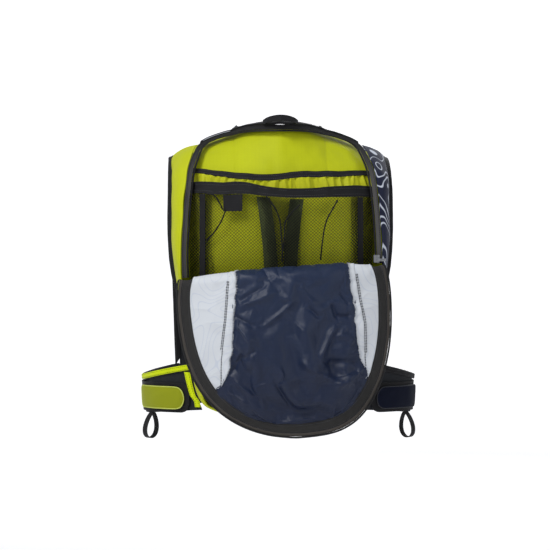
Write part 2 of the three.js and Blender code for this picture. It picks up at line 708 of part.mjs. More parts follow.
// The seams between the lining and the pale sides: down is a share of flapLength, left and right of flapHalf
const seamRows = [
  { down: 0.0, left: -0.42, right: 0.62 },
  { down: 0.17, left: -0.45, right: 0.62 },
  { down: 0.3, left: -0.485, right: 0.643 },
  { down: 0.45, left: -0.515, right: 0.635 },
  { down: 0.55, left: -0.55, right: 0.655 },
  { down: 0.64, left: -0.605, right: 0.7 },
  { down: 0.67, left: -0.64, right: 0.85 },
  { down: 0.7, left: -0.95, right: 1.0 },
  { down: 1.0, left: -1.0, right: 1.0 },
];
const flapLevels = [0, 0.02, 0.05, 0.09, 0.15, 0.22, 0.3, 0.38, 0.46, 0.54, 0.6, 0.64, 0.67, 0.69, 0.75, 0.82, 0.87, 0.9];
function seamAt(down, side) {
  const limit = Math.max(innerHalf(down) - 2, 3);
  return clamp(read(seamRows, "down", side, down / flapLength) * flapHalf, -limit, limit);
}
const liningFoot = flapLength - zipOnFlap - seam * 2;
const liningLevels = [...flapLevels.map((share) => (share * flapLength) / liningFoot), 1];
const liningFace = (u, v) => {
  const down = lerp(liningFoot, 0, v);
  const open = innerHalf(down);
  const [left, right] = [seamAt(down, "left"), seamAt(down, "right")];
  const belowSides = down > flapLength * sideFoot;
  const across = belowSides ? lerp(-open, open, u) : lerp(left + seam, right - seam, u);
  return flapPoint(across, down, puff(across, down));
};
const upwards = (levels) => levels.map((share) => 1 - share).reverse();
add("flap_lining", lining, freeCloth(12, upwards(liningLevels), liningFace, clothWall));
const sideLevels = flapLevels.filter((share) => share <= sideFoot).map((share) => share / sideFoot);
const flapSide = (side) => (u, v) => {
  const down = lerp(flapLength * sideFoot, 0, v);
  const outside = innerHalf(down);
  const inside = Math.abs(seamAt(down, side)) + seam;
  const across = side === "left" ? lerp(-outside, -inside, u) : lerp(inside, outside, u);
  return flapPoint(across, down, puff(across, down));
};
add("flap_side_left", pale, freeCloth(3, upwards(sideLevels), flapSide("left"), clothWall));
add("flap_side_right", pale, freeCloth(3, upwards(sideLevels), flapSide("right"), clothWall));

// The zip's half on the flap, a tape and its coil round the U of its edge
const alongFlap = (from, to) => (u, v) => {
  const { x, place } = beside(flapOutline, v, -lerp(to, from, u));
  const down = Math.max(-place, 0);
  return flapPoint(x, down, puff(x, down));
};
const tapeOnFlap = coilWidth + seam;
add("zip_tape_flap", black, freeCloth(1, 40, alongFlap(tapeOnFlap, tapeOnFlap + flapTape), tapeWall));
add("zip_coil_flap", black, freeCloth(1, 40, alongFlap(0, coilWidth), coilHeight));

// The wings. Each runs from the back's edge round the ribs to the front panel
const wingRoot = (z) => Math.max(edgeHalf(z + bladeDrop), wingRootHalf);
const wingStart = (z) => angleAt(wingRoot(z) + seam * 4, z);
const wingEnd = (z) => 180 - angleAt(outerEdge(z) + seam * 3, z);
const wingRows = [
  { turn: 25, top: -wingTop, foot: -wingBottom },
  { turn: 90, top: -wingTopSide, foot: -wingBottomSide },
  { turn: 155, top: -wingTopFront, foot: -wingBottom },
];
const wingTopAt = (angle) => read(wingRows, "turn", "top", angle);
const wingAt = (angle, v) => lerp(read(wingRows, "turn", "foot", angle), wingTopAt(angle), v);
const wingFace = (u, v) => {
  const z = wingAt(lerp(30, 140, u), v);
  const angle = lerp(wingStart(z), wingEnd(z), u);
  return { angle, z: wingAt(angle, v), lift: 0 };
};
pair("wing", black, black, roundCloth(18, 3, wingFace, padWall));

// The trims on the wings' top edges and roots, the tongues with their patches, and the loops below
const onWing = padWall + layer * 2;
const trimTopFace = (u, v) => {
  const angle = lerp(wingStart(-wingTop - trimWidth), 100, u);
  const z = wingTopAt(angle) - (1 - v) * trimWidth;
  return { angle, z, lift: onWing };
};
pair("wing_trim_top", black, lime, roundCloth(12, 1, trimTopFace, tapeWall));
const rootTrimTop = wingTopAt(wingStart(-wingTop)) - trimWidth * 1.35;
const trimRootFace = (u, v) => {
  const z = lerp(-wingBottom + seam * 4, rootTrimTop, v);
  const half = wingRoot(z) + seam * 4;
  return { angle: angleAt(half + u * trimWidth, z), z, lift: onWing };
};
pair("wing_trim_root", black, lime, roundCloth(1, 6, trimRootFace, tapeWall));

const tongueStart = (inset) => (z) => angleAt(wingRoot(z) + seam * 8 + trimWidth + inset, z);
const tongueMiddle = -tongueTop - tongueHeight / 2;
const tongueShares = [0, 0.02, 0.05, 0.09, 0.14, 0.21, 0.28, 0.35, 0.42, 0.49, 0.56, 0.64, 0.72, 0.8, 0.9, 1];
function tongueFace(inset, end, lift) {
  const half = tongueHeight / 2 - inset;
  return (u, v) => {
    const angle = lerp(tongueStart(inset)(tongueMiddle), end, u);
    const run = (angle - tongueStart(inset)(tongueMiddle)) * degrees * chestHalf * 0.85;
    const corner = clamp(1 - run / tongueRound, 0, 1);
    const tall = half - tongueRound * (1 - Math.sqrt(1 - corner ** 2));
    return { angle, z: tongueMiddle + lerp(-tall, tall, v), lift };
  };
}
const patchShares = [0, 0.04, 0.09, 0.16, 0.25, 0.38, 0.5, 0.62, 0.75, 0.88, 1];
const onTongue = onWing + tongueWall + layer * 2;
const tongue = roundCloth(tongueShares, 2, tongueFace(0, 118, onWing), tongueWall);
const patch = roundCloth(patchShares, 2, tongueFace(patchInset, 80, onTongue), patchWall);
pair("wing_tongue", black, black, tongue);
pair("wing_patch", navy, lime, patch);

const loopTop = read(wingRows, "turn", "foot", sideLoopTurn);
const loopSeat = roundBody(sideLoopTurn, loopTop, padWall / 2);
const outwards = roundBody(sideLoopTurn, loopTop, 1 + padWall / 2).sub(loopSeat);
const forwards = new THREE.Vector3(-outwards.y, outwards.x, 0);
const upAxis = new THREE.Vector3(0, 0, 1);
const loopOut = outwards.clone().applyAxisAngle(upAxis, -sideLoopTwist * degrees);
const loopAcross = forwards.clone().applyAxisAngle(upAxis, -sideLoopTwist * degrees);
const sideLoop = (u, v) => {
  const swing = Math.PI * lerp(0.025, 0.975, v);
  const out = sideLoopLength * (0.13 * Math.sin(swing) + 0.27 * Math.sin(swing * 2));
  const point = loopSeat.clone().addScaledVector(loopOut, out);
  point.addScaledVector(loopAcross, (u - 0.5) * sideLoopWidth);
  point.z += layer - sideLoopLength * Math.sin(swing) ** 1.3;
  return point;
};
pair("side_loop", black, black, freeCloth(1, 18, sideLoop, tapeWall));

// The hand loop behind the neck
const haulFace = (u, v) => {
  const x = lerp(-haulHalf, haulHalf, u);
  const place = archTop - 2 + v * haulWidth;
  const rise = haulRise * Math.sin(Math.PI * u) ** 0.7;
  return { x, place, lift: packLift(archTop) + yokeWall + layer * 2 + rise };
};
add("haul_loop", black, onCloth(10, 1, haulFace, tapeWall * 1.3));

// The slider at the zip's right end, with its pull
const sliderFoot = zipEnd + seam;
const sliderMiddle = packHalf(sliderFoot) - coilOnPack - coilWidth / 2;
const sliderLift = packLift(sliderFoot) + coilHeight - zipSink / 2;
const sliderFace = (u, v) => {
  const x = sliderMiddle + (u - 0.5) * sliderWidth;
  return { x, place: sliderFoot + v * sliderLength, lift: sliderLift };
};
add("slider", metal, onCloth(1, 1, sliderFace, sliderThick));
const pullFace = (u, v) => {
  const x = sliderMiddle - 1 + u * pullLength;
  return { x, place: sliderFoot + pullWidth * (0.6 + v), lift: sliderLift + sliderThick + layer };
};
add("pull", metal, onCloth(2, 1, pullFace, pullThick));

// The flask pockets on the front panels
const flaskRows = [
  { down: 0, out: 0.62 },
  { down: 0.3, out: 0.95 },
  { down: 0.65, out: 1 },
  { down: 0.9, out: 0.62 },
  { down: 1, out: 0 },
];
const flaskEdge = 5; // from the panel's edges in to the pocket
function flaskPoint(u, z) {
  const x = lerp(innerEdge(z) + flaskEdge, outerEdge(z) - flaskEdge, u);
  const out = read(flaskRows, "down", "out", clamp((-z - flaskDrop) / flaskLength, 0, 1));
  return { x, place: placeOnChest(x, z), lift: onWing + flaskDepth * out * Math.sin(Math.PI * u) ** 0.75 };
}
const flaskFace = (u, v) => flaskPoint(u, lerp(-flaskDrop, -flaskDrop - flaskLength, v));
const flaskBandFace = (u, v) => flaskPoint(u, -flaskDrop + seam + (1 - v) * bindingWidth);
pair("flask_pocket", navy, navy, onCloth(8, 7, flaskFace, clothWall));
pair("flask_band", black, black, onCloth(8, 1, flaskBandFace, clothWall));

// The two chest webbings, each in two halves with a closed clip between them
for (const [name, drop] of [["high", sternumHigh], ["low", sternumLow]]) {
  const web = (u, v) => {
    const x = lerp(buckleLength / 2 + seam, innerEdge(-drop) + flaskEdge - seam * 2, u);
    const z = -drop + (0.5 - v) * sternumWidth;
    return { x, place: placeOnChest(x, z), lift: onWing };
  };
  pair("chest_web_" + name, black, black, onCloth(4, 1, web, tapeWall));
  const clip = (u, v) => {
    const x = (u - 0.5) * buckleLength;
    const z = -drop + (0.5 - v) * buckleWidth;
    return { x, place: placeOnChest(x, z), lift: onWing - (buckleThick - tapeWall) / 2 };
  };
  add("chest_clip_" + name, plastic, onCloth(4, 1, clip, buckleThick));
}

export default vest;
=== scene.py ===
# %% [markdown]
# # A running hydration vest, dressed around its solid parts
# The vest hangs as it would on a runner's shoulders, seen from behind, with the pack
# unzipped and its flap hanging open. Each cell below makes one finish or a few pieces
# alike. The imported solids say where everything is, and the cloth is modelled over them.

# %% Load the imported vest
import json
import math

import bmesh
import bpy
import numpy as np
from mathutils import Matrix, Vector, noise

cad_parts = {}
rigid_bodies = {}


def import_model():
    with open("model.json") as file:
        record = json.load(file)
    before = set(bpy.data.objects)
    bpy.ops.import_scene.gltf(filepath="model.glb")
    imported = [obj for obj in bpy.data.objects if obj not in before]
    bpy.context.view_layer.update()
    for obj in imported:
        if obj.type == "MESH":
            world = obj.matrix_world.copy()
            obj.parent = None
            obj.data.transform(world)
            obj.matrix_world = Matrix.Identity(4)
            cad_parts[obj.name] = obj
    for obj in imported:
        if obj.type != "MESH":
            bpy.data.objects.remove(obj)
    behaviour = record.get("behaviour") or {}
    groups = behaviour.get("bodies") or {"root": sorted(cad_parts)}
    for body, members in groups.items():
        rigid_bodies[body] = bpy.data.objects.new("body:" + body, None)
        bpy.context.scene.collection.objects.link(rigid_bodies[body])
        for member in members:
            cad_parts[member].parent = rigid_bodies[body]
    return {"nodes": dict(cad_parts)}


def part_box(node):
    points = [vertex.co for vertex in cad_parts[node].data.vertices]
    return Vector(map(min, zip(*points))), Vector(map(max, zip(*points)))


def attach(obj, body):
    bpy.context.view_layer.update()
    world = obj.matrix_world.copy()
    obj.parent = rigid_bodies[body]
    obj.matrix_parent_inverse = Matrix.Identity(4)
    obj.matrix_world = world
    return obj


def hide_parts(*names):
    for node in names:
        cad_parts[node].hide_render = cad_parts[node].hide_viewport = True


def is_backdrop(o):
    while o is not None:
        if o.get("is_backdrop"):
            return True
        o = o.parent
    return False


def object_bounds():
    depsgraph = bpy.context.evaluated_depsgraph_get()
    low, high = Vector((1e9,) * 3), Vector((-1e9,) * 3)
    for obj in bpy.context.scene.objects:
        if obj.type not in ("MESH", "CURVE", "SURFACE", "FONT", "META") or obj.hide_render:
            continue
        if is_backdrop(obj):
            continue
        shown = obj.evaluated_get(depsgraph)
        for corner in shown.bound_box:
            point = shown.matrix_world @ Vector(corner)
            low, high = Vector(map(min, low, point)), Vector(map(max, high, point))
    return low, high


for thing in list(bpy.data.objects):
    bpy.data.objects.remove(thing)
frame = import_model()
solids_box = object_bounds()
mm = 0.001  # a millimetre, in the frame's metres
print("solid parts:", len(frame["nodes"]))


def linked(name, data):
    """Puts new data into the scene as an object."""
    thing = bpy.data.objects.new(name, data)
    bpy.context.scene.collection.objects.link(thing)
    return thing


# %% [markdown]
# ## The camera and the light
# The vest was photographed from a few steps away and level with its middle, from very
# slightly to the left. A long lens keeps the sides from spreading. Large soft lights and a
# pale sky give the flat light of a catalogue picture, and a pale floor curves up behind
# the vest so that no horizon shows.

# %% The camera
looked_at = Vector((-3.7, 0, -155)) * mm
camera_turn = math.radians(2.0)
camera_distance = 2.6  # metres

ahead = Vector((math.sin(camera_turn), math.cos(camera_turn), 0))
camera_data = bpy.data.cameras.new("camera")
camera_data.sensor_width = 36
camera_data.lens = 139.3
camera = linked("camera", camera_data)
camera.location = looked_at - ahead * camera_distance
camera.rotation_euler = ahead.to_track_quat("-Z", "Y").to_euler()
bpy.context.scene.camera = camera
print("camera at", [round(v, 3) for v in camera.location])


# %% Lights and sky
def soft_light(name, place, size, power):
    data = bpy.data.lights.new(name, "AREA")
    data.shape = "RECTANGLE"
    data.size = data.size_y = size
    data.energy = power
    light = linked(name, data)
    light.location = place
    light.rotation_euler = (looked_at - Vector(place)).to_track_quat("-Z", "Y").to_euler()


soft_light("key_light", (-1.35, -1.5, 1.75), 1.0, 54)
soft_light("fill_light", (1.9, -1.7, 0.5), 1.2, 9)
soft_light("front_light", (0.6, 2.2, 0.9), 1.4, 24)
sky = bpy.data.worlds.new("pale_sky")
bpy.context.scene.world = sky
sky.use_nodes = True
sky.node_tree.nodes["Background"].inputs["Color"].default_value = (0.95, 0.97, 1, 1)
sky.node_tree.nodes["Background"].inputs["Strength"].default_value = 0.42
bpy.context.scene.view_settings.view_transform = "Standard"


# %% [markdown]
# ## Working by hand, one piece at a time
# An operator acts on whatever is selected, so each piece starts by letting go of
# everything else. Modifiers are added, set and applied in one go.

# %% Small helpers
def take(piece):
    """Makes this piece the only one selected."""
    if bpy.context.object and bpy.context.object.mode != "OBJECT":
        bpy.ops.object.mode_set(mode="OBJECT")
    bpy.ops.object.select_all(action="DESELECT")
    piece.select_set(True)
    bpy.context.view_layer.objects.active = piece
    return piece


def modify(piece, kind, **settings):
    """Adds one modifier, sets it and applies it."""
    take(piece)
    change = piece.modifiers.new(kind.lower(), kind)
    for key, value in settings.items():
        setattr(change, key, value)
    bpy.ops.object.modifier_apply(modifier=change.name)
    return piece


def pick(piece, wanted):
    """Goes into edit mode with only those faces selected for which wanted(face) is true."""
    take(piece)
    bpy.ops.object.mode_set(mode="EDIT")
    bpy.ops.mesh.select_mode(type="FACE")
    bpy.ops.mesh.select_all(action="DESELECT")
    bm = bmesh.from_edit_mesh(piece.data)
    for face in bm.faces:
        face.select_set(bool(wanted(face)))
    bmesh.update_edit_mesh(piece.data)
    return sum(face.select for face in bm.faces)


def bevelled(piece, width, segments, angle):
    """Rounds the edges that are sharper than this angle, in degrees."""
    limit = math.radians(angle)
    return modify(
        piece, "BEVEL", width=width, segments=segments, limit_method="ANGLE", angle_limit=limit)


def smooth(piece, angle):
    """Shades smoothly, except across edges sharper than this angle, in degrees."""
    take(piece)
    bpy.ops.object.shade_smooth_by_angle(angle=math.radians(angle))
    return piece


def done(piece, material, slot, *nodes):
    """Gives a finished piece its finish, its place on the vest and the solid it stands for."""
    if not len(piece.data.materials):
        piece.data.materials.append(material)
    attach(piece, "root")
    if nodes:
        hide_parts(*nodes)
    return piece


# %% [markdown]
# ## Reading the panels back from the solids
# Every sewn panel of the vest is a closed slab with two broad sides and a narrow rim. The
# rim's short edges all have the length of the wall, which tells the sides apart. A side is
# then walked row by row, like a page of text, and comes back as a grid of points.

# %% The two broad sides of a slab
def slab(node):
    bm = bmesh.new()
    bm.from_mesh(frame["nodes"][node].data)
    bmesh.ops.remove_doubles(bm, verts=bm.verts, dist=2e-6)
    bm.normal_update()
    return bm


def patches(bm, rim, bend=9):
    """The groups of faces that hang together once the rim, or every sharp fold, is taken away."""
    left, found = {f: 1 for f in bm.faces if f not in rim}, []
    while left:
        patch, edge = {}, [next(iter(left))]
        left.pop(edge[0])
        while edge:
            face = edge.pop()
            patch[face] = 1
            for line in face.edges:
                for near in line.link_faces:
                    if line.calc_face_angle(0) < bend and left.pop(near, 0):
                        edge.append(near)
        found.append(patch)
    return found


def sides(bm):
    half = len(bm.verts) // 2
    walls = []
    for length in sorted(e.calc_length() for e in bm.edges):
        if not walls or length > walls[-1] * 1.05:
            walls.append(length)
    for slack in (0.05, 0.12, 0.22):
        for wall in walls[:12]:
            short = [e for e in bm.edges if abs(e.calc_length() - wall) < slack * wall]
            found = patches(bm, {f for e in short for f in e.link_faces})
            found = [p for p in found if len({v for f in p for v in f.verts}) == half]
            if len(found) == 2:
                return found, wall
    for bend in (58, 50, 66, 42, 35, 74, 80):
        found = patches(bm, (), math.radians(bend))
        found = [p for p in found if len({v for f in p for v in f.verts}) == half]
        if len(found) == 2:
            return found, walls[0]
    return [], 0


# %% A side as rows of points
def rows_of(patch):
    """Walks a side from one of its corners and returns rows of points."""
    inside = {}
    for face in patch:
        for v in face.verts:
            inside.setdefault(v, set()).update(w for w in face.verts if w is not v)
    rim = [e for f in patch for e in f.edges if sum(q in patch for q in e.link_faces) == 1]
    rim.sort(key=lambda e: e.index)
    next_to = {}
    for e in rim:
        next_to.setdefault(e.verts[0], []).append(e.verts[1])
        next_to.setdefault(e.verts[1], []).append(e.verts[0])
    loop = [rim[0].verts[0], next_to[rim[0].verts[0]][0]]
    while len(loop) < len(rim):
        loop.append([v for v in next_to[loop[-1]] if v is not loop[-2]][0])
    # (m + 1)(n + 1) points, 2 (m + n) of them round the rim
    half = len(loop) // 2
    m = [k for k in range(1, half) if (k + 1) * (half - k + 1) == len(inside)]
    if not m:
        return None
    m = min(m)
    n = half - m
    for start in range(len(loop)):
        ring = loop[start:] + loop[:start]
        left = [ring[0]] + ring[: n + m + n - 1 : -1][:m]
        rows, used = [ring[: n + 1]], set(ring[: n + 1])
        for i in range(1, m + 1):
            row = [left[i]]
            for j in range(n):
                both = (inside[row[j]] & inside[rows[-1][j + 1]]) - used - set(row)
                if len(both) != 1:
                    break
                row.append(both.pop())
            if len(row) <= n or row[-1] is not ring[n + i]:
                break
            used.update(row)
            rows.append(row)
        if len(rows) == m + 1:
            return np.array([[list(v.co) for v in row] for row in rows])
    return None


# %% A thin square strip as rings of four points
def rings_of(bm):
    """The rings of four points along a thin strip, from one end cap to the other."""
    for line in bm.edges:
        if len(line.link_faces) < 2 or line.calc_face_angle(9) > 0.35:
            continue
        cap = {v for f in line.link_faces for v in f.verts}
        outer = {e for f in line.link_faces for e in f.edges} - {line}
        if len(cap) == 4 and all(e.calc_face_angle(0) > 0.8 for e in outer):
            break
    else:
        return None
    b, d = sorted((v for v in cap if v not in line.verts), key=lambda v: v.index)
    ring = [line.verts[0], b, line.verts[1], d]
    rings, used = [ring], set(ring)
    while True:
        beyond = {w for v in ring for e in v.link_edges for w in e.verts} - used
        if len(beyond) != 4:
            break
        step = []
        for v in ring:
            step.append(min(beyond - set(step), key=lambda w: (w.co - v.co).length))
        ring = step
        used.update(ring)
        rings.append(ring)
    return np.array([[list(v.co) for v in ring] for ring in rings])


# %% Which side faces out
def unit(v):
    return v / np.maximum(np.linalg.norm(v, axis=-1, keepdims=True), 1e-12)


def facing(points):
    """The direction square to a grid of points, at each of them."""
    across = np.gradient(points, axis=0)
    along = np.gradient(points, axis=1)
    return unit(np.cross(along, across))


def matched(points, other):
    """Turns one grid about until its points lie against those of the other."""
    best = None
    for turned in (other, other.transpose(1, 0, 2)):
        if turned.shape != points.shape:
            continue
        for a in (1, -1):
            for b in (1, -1):
                tried = turned[::a, ::b]
                gap = np.abs(points - tried).sum()
                if best is None or gap < best[0]:
                    best = (gap, tried)
    return best[1]


body_middle = np.array((0, 0, -0.17))
outer, inner, wall_of = {}, {}, {}
for name in frame["nodes"]:
    bm = slab(name)
    found, wall = sides(bm)
    if found:
        a, b = rows_of(found[0]), rows_of(found[1])
        if a is None:
            bm.free()
            continue
        b = matched(a, b)
    else:
        rings = rings_of(bm)
        turns = [rings[:, k].mean(0) + rings[:, (k + 1) % 4].mean(0) for k in range(4)]
        level = [np.linalg.norm((t / 2 - body_middle) * (1, 1, 0.3)) for t in turns]
        k = int(np.argmax(level))
        a = np.array([rings[:, k], rings[:, (k + 1) % 4]])
        b = np.array([rings[:, (k + 3) % 4], rings[:, (k + 2) % 4]])
        wall = np.linalg.norm(a - b, axis=2).mean()
    out = (a.mean((0, 1)) - body_middle) * (1, 1, 0.3)
    if ((a - b).mean((0, 1)) * out).sum() < 0:
        a, b = b, a
    if (facing(a) * (a - b)).sum() < 0:
        a, b = a[:, ::-1], b[:, ::-1]
    outer[name], inner[name], wall_of[name] = a, b, wall
    bm.free()
print("panels read:", len(outer), "of", len(frame["nodes"]))


# %% [markdown]
# ## Finer cloth
# A coarse grid becomes fine cloth by drawing smooth curves through its points in both
# directions. The cloth itself is Blender's grid primitive, whose points are then laid on
# those curves, raised or lowered where the real cloth wrinkles, and given a thickness.

# %% Smooth curves through points
def eased(points, count):
    first = 2 * points[:1] - points[1:2]
    last = 2 * points[-1:] - points[-2:-1]
    held = np.concatenate([first, points, last])
    at = np.linspace(0, len(points) - 1, count)
    k = np.minimum(at.astype(int), len(points) - 2)
    t = (at - k).reshape((-1,) + (1,) * (points.ndim - 1))
    a, b, c, d = held[k], held[k + 1], held[k + 2], held[k + 3]
    bend, twist = 2 * a - 5 * b + 4 * c - d, 3 * b - a - 3 * c + d
    return 0.5 * (2 * b + (c - a) * t + bend * t**2 + twist * t**3)


def even(points, count):
    """The same, with the points spread evenly along the way."""
    fine = eased(points, count * 6)
    step = np.linalg.norm(np.diff(fine, axis=0), axis=-1)
    step = step.reshape(len(step), -1).mean(1)
    at = np.concatenate([[0], np.cumsum(step)])
    wanted = np.linspace(0, at[-1], count)
    flat = fine.reshape(len(fine), -1)
    made = np.array([np.interp(wanted, at, flat[:, i]) for i in range(flat.shape[1])]).T
    return made.reshape((count,) + points.shape[1:])


def fine_grid(points, rows, columns):
    return even(even(points, rows).swapaxes(0, 1), columns).swapaxes(0, 1)


# %% Unevenness that never repeats
def chance(i, j, k, seed):
    h = (i * 73856093) ^ (j * 19349663) ^ (k * 83492791) ^ (seed * 265443576)
    h = h & 0xFFFFFFFF
    h = ((h ^ (h >> 13)) * 1274126177) & 0xFFFFFFFF
    return ((h ^ (h >> 16)) & 0xFFFF) / 32767.5 - 1


def uneven(points, size, seed=1):
    """A soft value from -1 to 1 at each point, which changes over about this size."""
    p = points / size
    base = np.floor(p).astype(np.int64)
    f = p - base
    f = f * f * f * (f * (f * 6 - 15) + 10)
    total = 0
    for corner in range(8):
        o = np.array((corner & 1, corner >> 1 & 1, corner >> 2 & 1))
        share = np.prod(np.where(o == 1, f, 1 - f), axis=-1)
        q = base + o
        total = total + share * chance(q[..., 0], q[..., 1], q[..., 2], seed)
    return total


def rumpled(points, size, seed=1):
    """Sharp-backed wrinkles: high along thin winding lines."""
    bent = points + 0.35 * size * np.stack(
        [uneven(points, size * 1.4, seed + k) for k in (5, 6, 7)], -1)
    return 1 - 2 * np.abs(uneven(bent, size, seed)) ** 0.7


# %% A sheet of cloth on a panel
def shares(rows, columns):
    """How far across (u) and along (v) each point of a grid is, from 0 to 1."""
    return np.meshgrid(np.linspace(0, 1, rows), np.linspace(0, 1, columns), indexing="ij")


def shaped(points, height, lift=0.0):
    """Raises a grid of points by lift and by height(points, u, v)."""
    square = facing(points)
    points = points + square * lift
    if height is None:
        return points
    return points + square * height(points, *shares(*points.shape[:2]))[..., None]


def size_of(points):
    """How wide and how tall a grid of points is, along its wrinkles."""
    wide = np.linalg.norm(np.diff(points, axis=1), axis=2).sum(1).mean()
    tall = np.linalg.norm(np.diff(points, axis=0), axis=2).sum(0).mean()
    return wide, tall


def spread_of(points):
    """The area of a grid of points, along its wrinkles."""
    across, along = np.diff(points, axis=0)[:, :-1], np.diff(points, axis=1)[:-1]
    return np.linalg.norm(np.cross(across, along), axis=2).sum()


cuts = {}  # how wide and long each sheet is cut, and its area, in metres


def sheet_of(name, points):
    """Blender's grid primitive laid on a grid of points, with a map in metres."""
    rows, columns = points.shape[:2]
    wide, tall = size_of(points)
    bpy.ops.object.select_all(action="DESELECT")
    bpy.ops.mesh.primitive_grid_add(x_subdivisions=columns - 1, y_subdivisions=rows - 1, size=1)
    piece = bpy.context.object
    piece.name = piece.data.name = name
    cuts[name] = (float(wide), float(tall), float(spread_of(points)))
    piece.data.vertices.foreach_set("co", points.ravel())
    layer = piece.data.uv_layers[0].data
    flat = np.empty(len(layer) * 2)
    layer.foreach_get("uv", flat)
    layer.foreach_set("uv", (flat.reshape(-1, 2) * (wide, tall)).ravel())
    piece.data.update()
    return piece


def cloth(name, node, rows, columns, height=None, lift=0.0, wider=0.0, back=False):
    """A sheet on the outer side of a panel, or on its back.

    lift raises it, and wider stretches it past its edges, both in metres.
    """
    points = inner[node][:, ::-1] if back else outer[node]
    if wider:
        for axis in (0, 1):
            points = np.moveaxis(points, axis, 0).copy()
            points[0] += unit(points[0] - points[1]) * wider
            points[-1] += unit(points[-1] - points[-2]) * wider
            points = np.moveaxis(points, 0, axis)
    return sheet_of(name, shaped(fine_grid(points, rows, columns), height, lift))


def backed(piece, thickness, rim=None):
    """Gives a sheet its thickness, inwards. rim thins it to that share along its edges."""
    take(piece)
    settings = {"thickness": thickness, "offset": -1}
    if rim is not None:
        group = piece.vertex_groups.new(name="full")
        bm = bmesh.new()
        bm.from_mesh(piece.data)
        inside = [v.index for v in bm.verts if not v.is_boundary]
        bm.free()
        group.add(inside, 1.0, "REPLACE")
        settings.update(vertex_group="full", thickness_vertex_group=rim)
    modify(piece, "SOLIDIFY", **settings)
    piece.vertex_groups.clear()
    return smooth(piece, 50)


def sewn(name, node, rows, columns, height, rim, material, slot, **laid):
    """A panel of cloth in one go: laid on its solid, as thick as its wall, and finished."""
    piece = cloth(name, node, rows, columns, height, **laid)
    backed(piece, wall_of[node], rim)
    return done(piece, material, slot, node)


# %% [markdown]
# ## Finishes
# What several cloths share, such as the weave, the mottling of handled cloth and the
# printed contour lines, is made once as a node group and placed in each finish with its
# own values. The weave follows a piece's own map, which is in metres, so threads have
# their real size and run with the panel. The print follows the place on the vest, so it
# runs on across seams.

# %% Placing nodes
def put(tree, kind, sockets=(), **settings):
    """Adds a node, sets it, and feeds its inputs from values or from other nodes' outputs."""
    node = tree.nodes.new(kind)
    for key, value in settings.items():
        setattr(node, key, value)
    for key, value in dict(sockets).items():
        if isinstance(value, bpy.types.NodeSocket):
            tree.links.new(value, node.inputs[key])
        else:
            node.inputs[key].default_value = value
    return node


def sums(tree, kind, a, b=0.0, c=0.0):
    return put(tree, "ShaderNodeMath", {0: a, 1: b, 2: c}, operation=kind).outputs[0]


def shared(tree, effect, **sockets):
    """Places a shared node group with its own values."""
    return put(tree, "ShaderNodeGroup", sockets, node_tree=effect)


def group(name, takes, gives):
    """A shared node group. takes maps an input to its first value, gives lists the outputs."""
    tree = bpy.data.node_groups.new(name, "ShaderNodeTree")
    kinds = {float: "NodeSocketFloat", tuple: "NodeSocketVector"}
    for key, value in takes.items():
        socket = tree.interface.new_socket(key, in_out="INPUT", socket_type=kinds[type(value)])
        socket.default_value = value
    for key in gives:
        tree.interface.new_socket(key, in_out="OUTPUT", socket_type="NodeSocketFloat")
    return tree, put(tree, "NodeGroupInput"), put(tree, "NodeGroupOutput")


# %% Weave: threads over and under each other
weave, enter, leave = group("weave", {"Place": (0.0, 0.0, 0.0), "Thread": 0.0005}, ["Height"])
part = put(weave, "ShaderNodeSeparateXYZ", {0: enter.outputs["Place"]})
across = sums(weave, "DIVIDE", part.outputs[0], enter.outputs["Thread"])
along = sums(weave, "DIVIDE", part.outputs[1], enter.outputs["Thread"])
over = sums(weave, "SINE", sums(weave, "MULTIPLY", across, math.pi))
under = sums(weave, "SINE", sums(weave, "MULTIPLY", along, math.pi))
crossing = sums(weave, "MULTIPLY", over, under)
weave.links.new(sums(weave, "MULTIPLY_ADD", crossing, 0.5, 0.5), leave.inputs["Height"])

# %% Ribs: the ridges across a tape or webbing, and the thicker threads of ripstop
ribs, enter, leave = group(
    "ribs", {"Place": (0.0, 0.0, 0.0), "Pitch": 0.001, "Width": 0.25}, ["Across", "Along", "Both"])
part = put(ribs, "ShaderNodeSeparateXYZ", {0: enter.outputs["Place"]})
lines = []
for axis in (0, 1):
    count = sums(ribs, "DIVIDE", part.outputs[axis], enter.outputs["Pitch"])
    far = sums(ribs, "PINGPONG", count, 0.5)
    rib = put(
        ribs, "ShaderNodeMapRange",
        {
            "Value": far, "From Min": 0.0, "From Max": enter.outputs["Width"], "To Min": 1.0,
            "To Max": 0.0
        },
        interpolation_type="SMOOTHSTEP")
    lines.append(rib.outputs[0])
ribs.links.new(lines[0], leave.inputs["Across"])
ribs.links.new(lines[1], leave.inputs["Along"])
ribs.links.new(sums(ribs, "MAXIMUM", lines[0], lines[1]), leave.inputs["Both"])

# %% Mottling: large soft patches and fine grain
mottling, enter, leave = group(
    "mottling", {"Place": (0.0, 0.0, 0.0), "Patch": 0.05, "Grain": 0.0015}, ["Patches", "Grains"])
for key, out, detail in (("Patch", "Patches", 3.0), ("Grain", "Grains", 2.0)):
    scale = sums(mottling, "DIVIDE", 1.0, enter.outputs[key])
    cloud = put(
        mottling, "ShaderNodeTexNoise",
        {"Vector": enter.outputs["Place"], "Scale": scale, "Detail": detail, "Roughness": 0.6})
    mottling.links.new(cloud.outputs["Fac"], leave.inputs[out])

